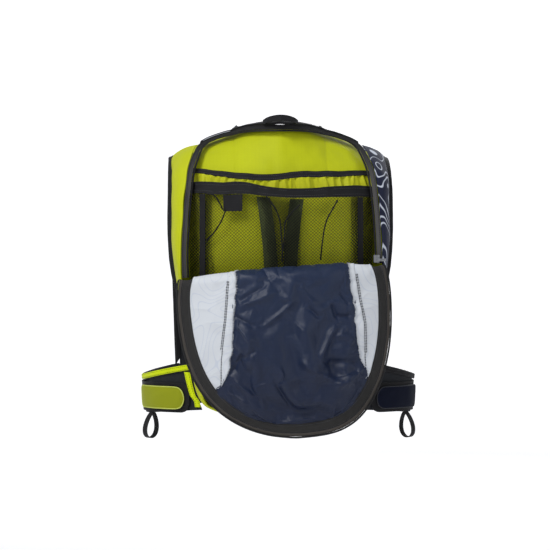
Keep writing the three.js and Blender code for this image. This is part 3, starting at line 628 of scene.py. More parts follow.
# %% Contour lines: an invented hilly map, printed in lines of one width
contours, enter, leave = group(
    "contour_lines", {"Place": (0.0, 0.0, 0.0), "Hill": 0.05, "Steps": 14.0, "Width": 0.0009},
    ["Line"])
scale = sums(contours, "DIVIDE", 1.0, enter.outputs["Hill"])
probe_step = 0.0004
levels = []
for nudge in ((0, 0, 0), (1, 0, 0), (0, 1, 0), (0, 0, 1)):
    moved = put(
        contours, "ShaderNodeVectorMath",
        {0: enter.outputs["Place"], 1: [n * probe_step for n in nudge]}, operation="ADD")
    hills = put(
        contours, "ShaderNodeTexNoise",
        {
            "Vector": moved.outputs[0], "Scale": scale, "Detail": 0.6, "Roughness": 0.3,
            "Distortion": 0.25
        }
    )
    levels.append(sums(contours, "MULTIPLY", hills.outputs["Fac"], enter.outputs["Steps"]))
slope = 1e-6
for level in levels[1:]:
    rise = sums(contours, "DIVIDE", sums(contours, "SUBTRACT", level, levels[0]), probe_step)
    slope = sums(contours, "MULTIPLY_ADD", rise, rise, slope)
far = sums(
    contours, "DIVIDE", sums(contours, "PINGPONG", levels[0], 0.5), sums(contours, "SQRT", slope))
half = sums(contours, "MULTIPLY", enter.outputs["Width"], 0.5)
line = put(
    contours, "ShaderNodeMapRange",
    {
        "Value": far, "From Min": sums(contours, "MULTIPLY", half, 0.6),
        "From Max": sums(contours, "MULTIPLY", half, 1.4), "To Min": 1.0, "To Max": 0.0
    },
    interpolation_type="SMOOTHSTEP")
contours.links.new(line.outputs[0], leave.inputs["Line"])


# %% A finish from the shared groups
def shade(red, green, blue):
    """A colour as seen on a screen, from 0 to 255, turned into light."""
    def light(c):
        return c / 255 / 12.92 if c < 10 else ((c / 255 + 0.055) / 1.055) ** 2.4
    return light(red), light(green), light(blue), 1


def mixed(tree, share, low, high):
    """A mix of two colours, which a colour mix node takes as its inputs 6 and 7."""
    node = put(tree, "ShaderNodeMix", {"Factor": share, 6: low, 7: high}, data_type="RGBA")
    return node.outputs[2]


def finish_of(name, colour, rough, thread=0.0005, depth=0.25, sheen=0.0, vary=0.25,
              rib=None, ripstop=None, print_on=None, painted_light_ramp=None, gloss=0.18):
    """One cloth: its colour, how its threads lie, and what is printed on it.

    thread is a thread's width in metres, depth how deep the threads lie in millimetres, and
    vary how much the colour changes from patch to patch. rib is (pitch, width as a share of
    the pitch, which way, strength), ripstop the colour of its thicker threads. print_on is
    (ink, size of a hill, lines to a hill, width of a line), and the ramp of painted light
    and shade is (axis, from, to, colour there).
    """
    material = bpy.data.materials.new(name)
    material.use_nodes = True
    tree = material.node_tree
    shader = tree.nodes["Principled BSDF"]
    place = put(tree, "ShaderNodeTexCoord")
    own, here = place.outputs["UV"], place.outputs["Object"]
    patch = shared(tree, mottling, Place=here, Patch=0.045, Grain=0.0012)
    threads = shared(tree, weave, Place=own, Thread=thread)
    dark = tuple(c * (1 - vary) for c in colour[:3]) + (1,)
    light = tuple(min(1, c * (1 + vary * 0.6)) for c in colour[:3]) + (1,)
    shown = mixed(tree, patch.outputs["Patches"], dark, light)
    height = threads.outputs["Height"]
    # painted light and shade: the colour ramps towards another along one axis of the place on the
    # vest
    if painted_light_ramp:
        axis, low, high, other = painted_light_ramp
        part = put(tree, "ShaderNodeSeparateXYZ", {0: here})
        share = put(
            tree, "ShaderNodeMapRange",
            {"Value": part.outputs[axis], "From Min": low, "From Max": high}).outputs[0]
        shown = mixed(tree, share, shown, other)
    if rib:
        pitch, width, which, strength = rib
        line = shared(tree, ribs, Place=own, Pitch=pitch, Width=width).outputs[which]
        height = sums(tree, "MULTIPLY_ADD", line, strength, height)
        cover, thread_colour = (0.5, ripstop) if ripstop else (0.35, dark)
        shown = mixed(tree, sums(tree, "MULTIPLY", line, cover), shown, thread_colour)
    if print_on:
        ink, hill, steps, width = print_on
        drawn = shared(tree, contours, Place=here, Hill=hill, Steps=steps, Width=width)
        shown = mixed(tree, drawn.outputs["Line"], shown, ink)
    height = sums(tree, "MULTIPLY_ADD", patch.outputs["Grains"], 0.6, height)
    bump = put(tree, "ShaderNodeBump", {"Height": height, "Strength": 0.5, "Distance": depth * mm})
    tree.links.new(shown, shader.inputs["Base Color"])
    tree.links.new(bump.outputs["Normal"], shader.inputs["Normal"])
    uneven_gloss = sums(tree, "MULTIPLY_ADD", patch.outputs["Patches"], 0.16, rough - 0.08)
    tree.links.new(uneven_gloss, shader.inputs["Roughness"])
    shader.inputs["Sheen Weight"].default_value = sheen
    shader.inputs["Sheen Roughness"].default_value = 0.4
    shader.inputs["Specular IOR Level"].default_value = gloss
    return material


# %% The vest's cloths
lime = finish_of(
    "lime_cloth", shade(180, 187, 14), 0.62, 0.0005, 0.16, 0.05, 0.14,
    rib=(0.0042, 0.04, "Both", 0.5), ripstop=shade(158, 170, 10))
# the sleeve's copy of the lime cloth is set a little apart from it to make up for the light on the
# sleeve: the difference is painted light
sleeve_lime_painted_light = finish_of(
    "sleeve_lime_painted_light_cloth", shade(184, 187, 16), 0.6, 0.0005, 0.14, 0.05, 0.16,
    rib=(0.0042, 0.04, "Both", 0.5), ripstop=shade(146, 158, 12), gloss=0.25)
bright_lime = finish_of("bright_lime_trim", shade(196, 212, 0), 0.6, 0.0005, 0.15, 0.08, 0.1)
white_ink = shade(196, 202, 214)
navy_print = finish_of(
    "navy_print_cloth", shade(26, 31, 54), 0.7, 0.0005, 0.15, 0.05, 0.15,
    print_on=(white_ink, 0.05, 18.0, 0.0009))
navy_plain = finish_of(
    "navy_patch_cloth", shade(14, 19, 36), 0.75, 0.0007, 0.3, 0.04, 0.35,
    rib=(0.003, 0.3, "Along", 0.5), gloss=0.08)
patch_lime = finish_of(
    "lime_patch_cloth", shade(140, 147, 18), 0.75, 0.0008, 0.3, 0.1, 0.2,
    rib=(0.003, 0.3, "Along", 0.5))
piping = finish_of("pale_piping", shade(186, 196, 90), 0.6, 0.0006, 0.2, 0.05, 0.1)
piping_dark = finish_of("dark_piping", shade(44, 46, 52), 0.6, 0.0006, 0.2, 0.05, 0.1)
# the lining is darker low down and lighter higher up: painted shade where it curves under, and
# painted light above
lining = finish_of(
    "navy_ripstop_lining", shade(8, 19, 44), 0.42, 0.0003, 0.08, 0.04, 0.16,
    rib=(0.0048, 0.05, "Both", 1.0), ripstop=shade(26, 36, 66), gloss=0.3,
    painted_light_ramp=(2, -0.37, -0.12, shade(24, 38, 64)))
pale = finish_of(
    "pale_cloth", shade(198, 202, 207), 0.66, 0.0005, 0.14, 0.05, 0.05,
    print_on=(shade(186, 192, 202), 0.05, 15.0, 0.0008))
pale_raw = finish_of("pale_raw_edge", shade(196, 200, 206), 0.8, 0.0005, 0.25, 0.1, 0.12)
mesh_cloth = finish_of("dark_spacer_mesh", shade(34, 36, 40), 0.85, 0.0014, 0.8, 0.1, 0.3)
webbing = finish_of(
    "black_webbing", shade(22, 22, 25), 0.75, 0.0006, 0.3, 0.08, 0.25,
    rib=(0.0022, 0.3, "Across", 1.0))
band_tape = finish_of(
    "dark_band_tape", shade(27, 27, 29), 0.72, 0.0005, 0.25, 0.08, 0.25,
    rib=(0.0016, 0.3, "Along", 0.8))
# the zip tape's grey stands in for the light its sides catch, and the black towards its top for
# shade there: painted light and shade
zip_cloth = finish_of(
    "zip_tape_cloth", shade(74, 73, 72), 0.75, 0.0005, 0.25, 0.1, 0.15,
    rib=(0.0012, 0.3, "Across", 0.8), painted_light_ramp=(2, -0.05, 0.0, shade(20, 20, 22)))
border_tape = finish_of(
    "border_tape_cloth", shade(31, 30, 29), 0.62, 0.0005, 0.35, 0.1, 0.35,
    rib=(0.0013, 0.3, "Along", 0.9), gloss=0.3)
edge_tape = finish_of(
    "border_tape_edge", shade(62, 58, 54), 0.66, 0.0005, 0.3, 0.1, 0.25,
    rib=(0.0011, 0.3, "Across", 0.9))
strap_mesh = finish_of(
    "dark_olive_mesh_strap", shade(84, 92, 56), 0.8, 0.0012, 0.5, 0.1, 0.3,
    rib=(0.0024, 0.3, "Both", 0.8))
net_yarn = finish_of("black_net_yarn", shade(20, 22, 19), 0.6, 0.0004, 0.1, 0.05, 0.2)
thread_dark = finish_of("dark_thread", shade(15, 15, 22), 0.7, 0.0004, 0.1, 0.1, 0.2)
thread_grey = finish_of("grey_thread", shade(70, 70, 74), 0.7, 0.0004, 0.1, 0.1, 0.2)
coil_nylon = finish_of("zip_coil_nylon", shade(20, 20, 22), 0.5, 0.0004, 0.05, 0.0, 0.15, gloss=0.3)
plastic = finish_of("black_plastic", shade(20, 20, 22), 0.4, 0.0011, 0.05, 0.0, 0.12, gloss=0.5)
print("finishes:", len(bpy.data.materials))


# %% Pale metal of the slider
metal = bpy.data.materials.new("pale_slider_metal")
metal.use_nodes = True
tree = metal.node_tree
place = put(tree, "ShaderNodeTexCoord")
worn = shared(tree, mottling, Place=place.outputs["Object"], Patch=0.004, Grain=0.0004)
shader = tree.nodes["Principled BSDF"]
shader.inputs["Metallic"].default_value = 0.85
tree.links.new(
    mixed(tree, worn.outputs["Patches"], shade(112, 114, 118), shade(168, 170, 172)),
    shader.inputs["Base Color"])
tree.links.new(
    sums(tree, "MULTIPLY_ADD", worn.outputs["Grains"], 0.3, 0.18), shader.inputs["Roughness"])


# %% [markdown]
# ## The floor
# A plain pale floor that sweeps up all round, like paper in a photographer's studio, so it
# looks the same behind the vest from every side. It is a wide open drum seen from inside,
# whose bottom rim is bevelled into one large curve.

# %% Floor
bpy.ops.object.select_all(action="DESELECT")
floor_radius, paper_height, paper_middle, sweep = 5.2, 1.9, 0.33, 1.2  # metres
bpy.ops.mesh.primitive_cylinder_add(
    vertices=96, radius=floor_radius, depth=paper_height, location=(0, 0, paper_middle))
floor = bpy.context.object
floor.name = floor.data.name = "paper_floor"
bpy.ops.object.transform_apply(location=True, rotation=True, scale=True)
pick(floor, lambda face: face.normal.z > 0.9)
bpy.ops.mesh.delete(type="FACE")
bpy.ops.mesh.select_all(action="SELECT")
bpy.ops.mesh.flip_normals()
bpy.ops.object.mode_set(mode="OBJECT")
bevelled(floor, sweep, 12, 60)
smooth(floor, 60)
print("floor faces:", len(floor.data.polygons))

# %% Its paper, lit from behind where it rises
paper = finish_of("floor_paper", shade(244, 244, 246), 0.9, 0.001, 0.02, 0.0, 0.01)
tree = paper.node_tree
shader = tree.nodes["Principled BSDF"]
place = put(tree, "ShaderNodeTexCoord")
flat = put(
    tree, "ShaderNodeVectorMath", {0: place.outputs["Object"], 1: (1, 1, 0)}, operation="MULTIPLY")
away = put(tree, "ShaderNodeVectorMath", {0: flat.outputs[0]}, operation="LENGTH")
glow = put(
    tree, "ShaderNodeMapRange", {"Value": away.outputs["Value"], "From Min": 0.6, "From Max": 3.4})
# the glow is for the camera alone, so it doesn't light the vest
seen = put(tree, "ShaderNodeLightPath").outputs["Is Camera Ray"]
tree.links.new(sums(tree, "MULTIPLY", glow.outputs[0], seen), shader.inputs["Emission Color"])
shader.inputs["Emission Strength"].default_value = 0.62
floor.data.materials.append(paper)
floor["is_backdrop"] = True


# %% [markdown]
# ## The back, straps and front
# These carry the vest, so their cloth is padded and only lightly wrinkled. The back panel
# is lime where it lines the pack, and dark spacer mesh against the runner.

# %% Back panel
def gentle(amount, size, seed):
    return lambda p, u, v: amount * mm * uneven(p, size * mm, seed)


def back_wrinkles(p, u, v):
    fall = 0.5 * mm * uneven(p * (1, 1, 0.25), 9 * mm, 3) * (p[..., 2] > -0.05)
    return fall + 0.5 * mm * uneven(p, 30 * mm, 4)


back = cloth("back_panel_cloth", "back_panel", 110, 130, back_wrinkles)
back.data.materials.append(lime)
back.data.materials.append(mesh_cloth)
modify(
    back, "SOLIDIFY", thickness=wall_of["back_panel"], offset=-1, material_offset=1,
    material_offset_rim=1)
smooth(back, 50)
done(back, lime, "dark_mesh_cloth", "back_panel")
print("back panel:", len(back.data.polygons), "faces")

# %% Straps, front panels and pack sides
coloured = {"left": (lime, "lime_cloth"), "right": (navy_print, "navy_print_cloth")}
front_wrinkles = {"left": gentle(0.5, 26, 11), "right": gentle(0.5, 26, 23)}
for side, seed in (("left", 11), ("right", 23)):
    for part, rows, columns, amount in (("strap", 40, 70, 0.7), ("pack_side", 50, 130, 0.9)):
        node = f"{part}_{side}"
        wrinkles = gentle(amount, 22, seed)
        sewn(node + "_cloth", node, rows, columns, wrinkles, 0.5, *coloured[side], wider=0.8 * mm)
    node = f"front_panel_{side}"
    sewn(node + "_cloth", node, 44, 110, front_wrinkles[side], 0.5, mesh_cloth,
         "dark_mesh_cloth", wider=1.2 * mm)

# %% Bindings round the edges
bindings = ("armhole_binding_right", "armhole_binding_left", "neck_binding")
for node in (*bindings, "hem_binding", "yoke"):
    sewn(node + "_tape", node, 7, 220, gentle(0.25, 9, 5), 0.45, webbing, "black_webbing",
         wider=0.4 * mm)


# %% [markdown]
# ## Folds that are drawn
# Most of what makes cloth look like cloth is where it folds. Each clear fold of the vest
# is drawn as a stroke with two ends, a width and a height. The strokes can be sharp like
# the creases of thin nylon, or soft.

# %% One fold, and many: each is (x, z, x, z, width, height) in millimetres
def stroke(p, start, end, width, height, sharp=1.6):
    """A fold along a line between two places (x, z in millimetres), which dies away at its ends."""
    x, z = p[..., 0] / mm, p[..., 2] / mm
    a, b = np.array(start, float), np.array(end, float)
    along = b - a
    length = np.hypot(*along)
    along = along / length
    t = ((x - a[0]) * along[0] + (z - a[1]) * along[1]) / length
    off = (x - a[0]) * -along[1] + (z - a[1]) * along[0]
    ends = np.clip(np.minimum(t, 1 - t) * 3.2 + 0.35, 0, 1)
    ends = ends * ends * (3 - 2 * ends)
    return height * mm * ends * np.exp(-np.abs(off / width) ** sharp)


def all_strokes(p, folds, sharp=1.6):
    total = np.zeros(p.shape[:-1])
    for x0, z0, x1, z1, width, height in folds:
        total = total + stroke(p, (x0, z0), (x1, z1), width, height, sharp)
    return total


def within(u, v, border):
    """From 0 at the edges of a grid to 1 further in than this share of it."""
    t = np.clip(np.minimum(np.minimum(u, 1 - u), np.minimum(v, 1 - v)) / border, 0, 1)
    return t * t * (3 - 2 * t)


# %% [markdown]
# ## The sleeve and the bands
# The sleeve for the water bladder is thin lime cloth. Its top is gathered under two dark
# bands, so it puckers between them, with creases that lean outwards.

# %% Sleeve
sleeve_folds = [
    (2, -8, 4, -38, 2.6, 1.3), (-6, -10, -4, -36, 2.2, -1.1), (14, -6, 12, -38, 3.0, 0.9),
    (-30, -6, -42, -36, 5.0, 0.9), (40, -6, 52, -34, 5.0, 0.9), (-60, -10, -74, -34, 4.0, -0.8),
    (66, -14, 78, -34, 4.0, -0.8),
]
for k in range(44):
    x = -102 + k * 4.7 + 2.0 * float(chance(np.array(k), np.array(3), np.array(5), 9))
    lean = 9 * np.sign(x) * (0.5 + 0.5 * float(chance(np.array(k), np.array(1), np.array(2), 4)))
    width, height = 1.3 + 0.45 * (k % 3), (2.3, -1.8, 1.6, -1.4)[k % 4]
    sleeve_folds.append((x, -36, x + lean, -60, width, height))


def sleeve_wrinkles(p, u, v):
    slow = 0.9 * mm * uneven(p, 34 * mm, 9) + 0.4 * mm * uneven(p, 12 * mm, 10)
    return slow + all_strokes(p, sleeve_folds)


sleeve = cloth("sleeve_cloth", "sleeve", 190, 230, sleeve_wrinkles)
backed(sleeve, 0.8 * mm)
done(sleeve, sleeve_lime_painted_light, "lime_cloth", "sleeve")
print("sleeve:", len(sleeve.data.polygons), "faces,", len(sleeve_folds), "folds")


# %% Bands with a rolled edge
def rolled(amount, size, seed, edge=0.35):
    """A tape: its two long edges are thicker, and it waves a little."""
    def height(p, u, v):
        near = np.exp(-((np.minimum(u, 1 - u) / 0.14) ** 2))
        return mm * (amount * uneven(p, size * mm, seed) + edge * near)
    return height


for node, amount in (("sleeve_band", 0.5), ("net_band", 0.8)):
    sewn(node + "_tape", node, 13, 240, rolled(amount, 11, 6), 0.5, band_tape, "black_webbing",
         lift=0.3 * mm, wider=0.3 * mm)
short_tapes = {
    "net_tape_left": band_tape, "net_tape_right": band_tape, "loop_tab": band_tape,
    "bladder_strap_left": strap_mesh, "bladder_strap_right": strap_mesh,
}
for node, finish in short_tapes.items():
    sewn(node + "_tape", node, 11, 70, rolled(0.5, 12, 7, 0.2), 0.6, finish, "black_webbing")


# %% [markdown]
# ## The net pocket
# The net is real cords with holes between them, so the lime cloth shows through from any
# side. A grid of diamonds is laid on the pocket and Blender's Wireframe modifier turns
# each edge into a cord. It is gathered at its band and pulled by the straps behind, so it
# creases along curved lines.

# %% Net
net_folds = [
    (-68, -70, -62, -92, 2.4, 1.8), (-62, -92, -70, -112, 2.4, 1.8),
    (-70, -112, -84, -128, 2.4, 1.5), (66, -76, 52, -104, 2.4, 1.8), (52, -104, 46, -124, 2.4, 1.5),
    (-34, -66, -22, -92, 2.6, 1.6), (-22, -92, -6, -112, 3.0, 1.8), (26, -66, 12, -86, 2.6, 1.8),
    (12, -86, 2, -116, 3.0, 2.2), (0, -68, -4, -100, 3.4, -2.0), (36, -68, 30, -84, 2.4, -1.2),
    (-48, -68, -42, -84, 2.4, -1.2),
]


def net_height(p, u, v):
    return 0.8 * mm * uneven(p, 26 * mm, 12) + all_strokes(p, net_folds)


def net_on(name, node, pitch, width, lift=0.0, keep=None):
    """Cords in diamonds over a panel. keep says which places have net."""
    surface = outer[node]
    wide, tall = size_of(surface)
    columns, rows = int(wide / pitch) | 1, int(tall / pitch) | 1
    lattice = shaped(fine_grid(surface, rows, columns), net_height, lift)
    at, points, faces = {}, [], []
    for i in range(rows):
        for j in range(columns):
            if (i + j) % 2 == 0:
                at[i, j] = len(points)
                points.append(lattice[i, j])
    for i in range(1, rows - 1):
        for j in range(1, columns - 1):
            if (i + j) % 2 and (keep is None or keep(*lattice[i, j])):
                faces.append((at[i, j - 1], at[i - 1, j], at[i, j + 1], at[i + 1, j]))
    mesh = bpy.data.meshes.new(name)
    mesh.from_pydata([tuple(p) for p in points], [], faces)
    piece = take(linked(name, mesh))
    bpy.ops.object.mode_set(mode="EDIT")
    bpy.ops.mesh.select_all(action="SELECT")
    bpy.ops.mesh.delete_loose()
    bpy.ops.object.mode_set(mode="OBJECT")
    modify(
        piece, "WIREFRAME", thickness=width, use_even_offset=False, use_replace=True,
        use_boundary=True)
    print(name, "triangles:", sum(len(p.vertices) - 2 for p in piece.data.polygons))
    return done(piece, net_yarn, "net_cloth", node)


def at_the_edges(x, y, z):
    """Where a second net lies beside the tapes, widening downwards: double layer and painted shade.
    """
    return abs(x) > 0.082 + 0.12 * min(0, z + 0.13)


def in_the_middle(x, y, z):
    """Where it is doubled between the bladder straps."""
    return -0.019 + 0.12 * max(0, -0.1 - z) < x + 0.3 * max(0, z + 0.085) < 0.02


net_on("net_pocket_net", "net_pocket", 1.85 * mm, 0.62 * mm)
# the second net beside the tapes is partly a real double layer and partly painted shade, darkening
# the net there
net_on("net_pocket_edge_double_shade_net", "net_pocket", 1.9 * mm, 0.8 * mm, -1.4 * mm, at_the_edges)
net_on("net_pocket_middle_net", "net_pocket", 1.8 * mm, 0.75 * mm, -1.2 * mm, in_the_middle)


# %% Gathering cords of the net
def tube(name, points, radius, material, slot):
    """A thin cord along a line of places, made by Blender's own curve and its bevel."""
    data = bpy.data.curves.new(name, "CURVE")
    data.dimensions = "3D"
    data.bevel_depth = radius
    data.bevel_resolution = 2
    data.use_fill_caps = True
    line = data.splines.new("POLY")
    line.points.add(len(points) - 1)
    line.points.foreach_set("co", np.c_[points, np.ones(len(points))].ravel())
    take(linked(name, data))
    bpy.ops.object.convert(target="MESH")
    smooth(bpy.context.object, 60)
    return done(bpy.context.object, material, slot)


def on_panel(places, node, height=None, lift=0.0):
    """Lays places (x, z) on a panel: the nearest of its fine points, and the way square to it."""
    fine = shaped(fine_grid(outer[node], 160, 260), height, lift)
    square = facing(fine).reshape(-1, 3)
    fine = fine.reshape(-1, 3)
    found = [int(np.argmin((fine[:, 0] - x) ** 2 + (fine[:, 2] - z) ** 2)) for x, z in places]
    return fine[found], square[found]


def smoothed(line, times=6):
    for turn in range(times):
        line[1:-1] = (line[:-2] + 2 * line[1:-1] + line[2:]) / 4
    return line


gathers = [
    ((-66, -79), (-67, -84), (-72, -95), (-80, -107), (-87, -114)),
    ((-19, -64), (-12, -72), (-5, -84), (-2, -95), (-1, -107), (0, -121), (0, -140)),
    ((20, -74), (10, -84), (3, -95), (3, -108), (1, -127)),
    ((-86, -59), (-78, -63), (-72, -72), (-69, -79)),
    ((65, -68), (58, -80), (51, -94), (47, -116), (45, -138)),
]
for k, places in enumerate(gathers):
    line, square = on_panel(eased(np.array(places) * mm, 50), "net_pocket", net_height, 0.2 * mm)
    tube(f"net_gather_{k}", smoothed(line), 0.85 * mm, net_yarn, "net_cloth")
print("gathering cords:", len(gathers))


# %% [markdown]
# ## The flap
# The flap is thin navy nylon between two pale panels, sewn to a wide border tape. Thin
# nylon buckles when it has a little more cloth than its frame, so the sheet starts with
# its clearest folds drawn in, and Blender's cloth solver then lets it grow by a few
# percent while its edges stay held. It folds by itself where it must.

# %% Where the lining folds
lining_folds = [
    (-57, -202, -32, -214, 2.6, -2.4), (-50, -192, -10, -176, 4.0, 2.4),
    (-22, -214, 12, -186, 2.6, 2.4), (-48, -184, -18, -166, 3.0, -2.0),
    (-44, -220, 0, -268, 7.0, 2.6), (-44, -244, -58, -266, 3.4, -2.8),
    (-6, -262, 22, -306, 8.0, 4.2), (-12, -268, 10, -306, 2.6, -2.8),
    (18, -252, 48, -270, 4.0, 2.8), (44, -268, 66, -280, 5.0, 4.0), (62, -282, 92, -264, 4.5, 3.6),
    (46, -256, 90, -252, 3.6, -3.0), (28, -192, 42, -204, 2.6, -2.6),
    (56, -188, 62, -204, 2.4, -3.2), (60, -203, 78, -202, 2.4, -2.8),
    (66, -176, 76, -188, 2.6, -2.4), (60, -214, 42, -250, 4.0, 3.0), (64, -222, 82, -232, 5.0, 2.4),
    (-56, -276, -34, -292, 2.8, 2.8), (-64, -286, -40, -302, 3.0, 2.6),
    (-34, -272, -20, -304, 3.2, 2.6), (20, -170, 36, -190, 3.6, 2.0),
    (-30, -240, -44, -252, 2.8, -2.0), (10, -216, 30, -246, 6.0, -2.2),
    (-10, -156, -50, -170, 5.0, -1.6), (-54, -210, -36, -236, 3.0, 2.0),
    (0, -196, 26, -222, 3.4, 1.8),
]


lining_billows = [
    (-46, -206, -30, -262, 11.0, 2.6), (-16, -214, 8, -280, 11.0, 3.0),
    (-28, -232, -16, -290, 8.0, -2.4), (22, -214, 38, -280, 10.0, 2.6),
    (8, -232, 22, -288, 8.0, -2.6), (50, -226, 64, -276, 9.0, -2.6), (72, -232, 70, -282, 9.0, 2.6),
    (-30, -292, 30, -318, 7.0, -2.4), (36, -292, 60, -306, 7.0, 2.4),
    (-56, -236, -62, -268, 7.0, -2.0), (12, -160, 4, -188, 9.0, 2.2),
    (40, -164, 50, -190, 8.0, -2.2),
]


def lining_start(p, u, v):
    drawn = 1.15 * all_strokes(p, lining_folds, 1.7) + 1.5 * all_strokes(p, lining_billows, 2.0)
    drawn = drawn + 1.2 * mm * uneven(p, 30 * mm, 31)
    return within(u, v, 0.07) * (drawn + 1.6 * mm)


# %% Letting it buckle
def buckled(piece, rows, columns, grow, most, bend, frames=18):
    """Grows a sheet by this share while its edges are held. No point moves further than most."""
    start = np.empty(rows * columns * 3)
    piece.data.vertices.foreach_get("co", start)
    held = piece.vertex_groups.new(name="held")
    u, v = shares(rows, columns)
    loose = within(u, v, 0.05).ravel()
    for k in np.flatnonzero(loose < 1):
        held.add([int(k)], float(1 - loose[k]), "REPLACE")
    take(piece)
    change = piece.modifiers.new("cloth", "CLOTH")
    wanted = change.settings
    wanted.quality = 6
    wanted.mass = 0.1
    wanted.tension_stiffness = wanted.compression_stiffness = 18
    wanted.shear_stiffness = 6
    wanted.bending_stiffness = bend
    wanted.tension_damping = wanted.compression_damping = 8
    wanted.bending_damping = 0.6
    wanted.shrink_min = -grow
    wanted.vertex_group_mass = "held"
    wanted.effector_weights.gravity = 0
    change.collision_settings.use_collision = False
    change.point_cache.frame_end = frames
    for frame_number in range(1, frames + 1):
        bpy.context.scene.frame_set(frame_number)
    grown = piece.evaluated_get(bpy.context.evaluated_depsgraph_get())
    end = np.empty(rows * columns * 3)
    grown.data.vertices.foreach_get("co", end)
    piece.modifiers.remove(change)
    bpy.context.scene.frame_set(1)
    move = (end - start).reshape(-1, 3)
    far = np.linalg.norm(move, axis=1, keepdims=True)
    move *= np.minimum(1, most / np.maximum(far, 1e-9))
    piece.data.vertices.foreach_set("co", (start.reshape(-1, 3) + move).ravel())
    piece.data.update()
    piece.vertex_groups.clear()
    print(piece.name, "moved up to", round(float(far.max()) / mm, 1), "mm")
    return piece


# %% Lining
lining_grid = (109, 115)  # rows and columns, which keep its finer mesh under 200,000 triangles
flap = cloth("flap_lining_cloth", "flap_lining", *lining_grid, lining_start, wider=2.6 * mm)
buckled(flap, *lining_grid, grow=0.038, most=5 * mm, bend=0.6)
modify(flap, "SUBSURF", levels=1, render_levels=1)
backed(flap, 0.5 * mm)
done(flap, lining, "navy_lining_cloth", "flap_lining")
print("lining:", len(flap.data.polygons), "faces")

# %% Seams of the flap, as places (x, z) in millimetres
seam_left = np.array((
    (-61.5, -157), (-63.5, -180), (-65.3, -206), (-68.5, -232), (-70.5, -253), (-71.0, -280)
)) * mm
seam_right = np.array((
    (83.3, -150), (86.5, -170), (89.0, -186), (93.9, -211), (94.7, -247), (95.6, -262)
)) * mm


def beyond_seam(p, side):
    """How far a place is past the seam, towards the lining."""
    seam = seam_left if side == "left" else seam_right
    x = np.interp(-p[..., 2], -seam[:, 1], seam[:, 0])
    return (p[..., 0] - x) * (1 if side == "left" else -1)


def side_height(side):
    def height(p, u, v):
        past = beyond_seam(p, side)
        raw = 1 / (1 + np.exp(-past / (0.5 * mm)))
        allowance = mm * raw * (0.8 + 0.6 * uneven(p * (0.3, 1, 1), 6 * mm, 39))
        seam = -0.7 * mm * np.exp(-((past / (0.9 * mm)) ** 2))
        pulls = 0.45 * mm * uneven(p * (1, 1, 2.2), 7 * mm, 40) * np.exp(-np.abs(past) / (5 * mm))
        soft = 0.9 * mm * uneven(p, 19 * mm, 41) + 0.4 * mm * rumpled(p, 17 * mm, 42)
        return within(u, v, 0.06) * (soft + pulls) + allowance + seam
    return height


# %% Pale sides of the flap, with a raw edge that wanders over the lining
def side_points(side, rows, columns):
    points = fine_grid(outer[f"flap_side_{side}"], rows, columns)
    u, v = shares(rows, columns)
    near = (1 - u if side == "left" else u) ** 5
    out = unit(np.gradient(points, axis=0)) * (-1 if side == "left" else 1)
    wander = 1.5 * uneven(points, 9 * mm, 47) + 0.7 * uneven(points, 2.6 * mm, 48) + 0.6
    return shaped(points + out * (near * wander * mm)[..., None], side_height(side))


for side in ("left", "right"):
    node = f"flap_side_{side}"
    piece = sheet_of(node + "_cloth", side_points(side, 80, 240))
    backed(piece, 0.7 * mm)
    done(piece, pale, "pale_cloth", node)

# %% Border tape, with its fold, and the tape of the zip
def border_profile(p, u, v):
    def ridge(height, place, width):
        return height * mm * np.exp(-(((u - place) / width) ** 2))

    groove = ridge(-0.5, 0.74, 0.035)
    edge = ridge(0.35, 0.03, 0.05) + ridge(0.5, 0.9, 0.08)
    puckers = 0.22 * mm * uneven(p, 4.5 * mm, 46) + 0.5 * mm * uneven(p, 17 * mm, 43)
    return groove + edge + puckers


piece = cloth(
    "flap_border_tape", "zip_tape_flap", 30, 420, border_profile, lift=0.5 * mm, wider=0.7 * mm)
backed(piece, wall_of["zip_tape_flap"] + 0.3 * mm, 0.6)
done(piece, border_tape, "dark_zip_tape", "zip_tape_flap")
fine = shaped(fine_grid(outer["zip_tape_flap"], 41, 420), border_profile, 0.75 * mm)[31:41]
piece = backed(sheet_of("flap_border_edge", fine), 0.5 * mm)
done(piece, edge_tape, "dark_zip_tape")
sewn("pack_zip_tape", "zip_tape_pack", 12, 380, rolled(0.25, 14, 44, 0.2), 0.6, zip_cloth,
     "dark_zip_tape")
sewn("pack_shell_cloth", "pack_shell", 100, 160, gentle(0.8, 24, 45), 0.6, pale, "pale_cloth",
     wider=-1.2 * mm, back=True)


# %% [markdown]
# ## What repeats: zip coil, stitches and frayed threads
# One turn of the coil and one stitch are each modelled once from a cylinder, and copies of
# their points are set along the seam, every one turned to follow it.

# %% One peg, and rows of it
def peg(radius, length, around=8, flat=1.0):
    """A short rounded peg lying along X."""
    bpy.ops.object.select_all(action="DESELECT")
    bpy.ops.mesh.primitive_cylinder_add(
        vertices=around, radius=radius, depth=length, end_fill_type="NGON",
        rotation=(0, math.pi / 2, 0))
    bpy.ops.object.transform_apply(location=True, rotation=True, scale=True)
    piece = bpy.context.object
    bpy.ops.object.mode_set(mode="EDIT")
    bpy.ops.mesh.select_all(action="SELECT")
    bpy.ops.transform.resize(value=(1, 1, flat), center_override=(0, 0, 0))
    bpy.ops.object.mode_set(mode="OBJECT")
    bevelled(piece, radius / 2, 1, 60)
    points = np.array([v.co[:] for v in piece.data.vertices])
    faces = [list(p.vertices) for p in piece.data.polygons]
    bpy.data.objects.remove(piece)
    return points, faces


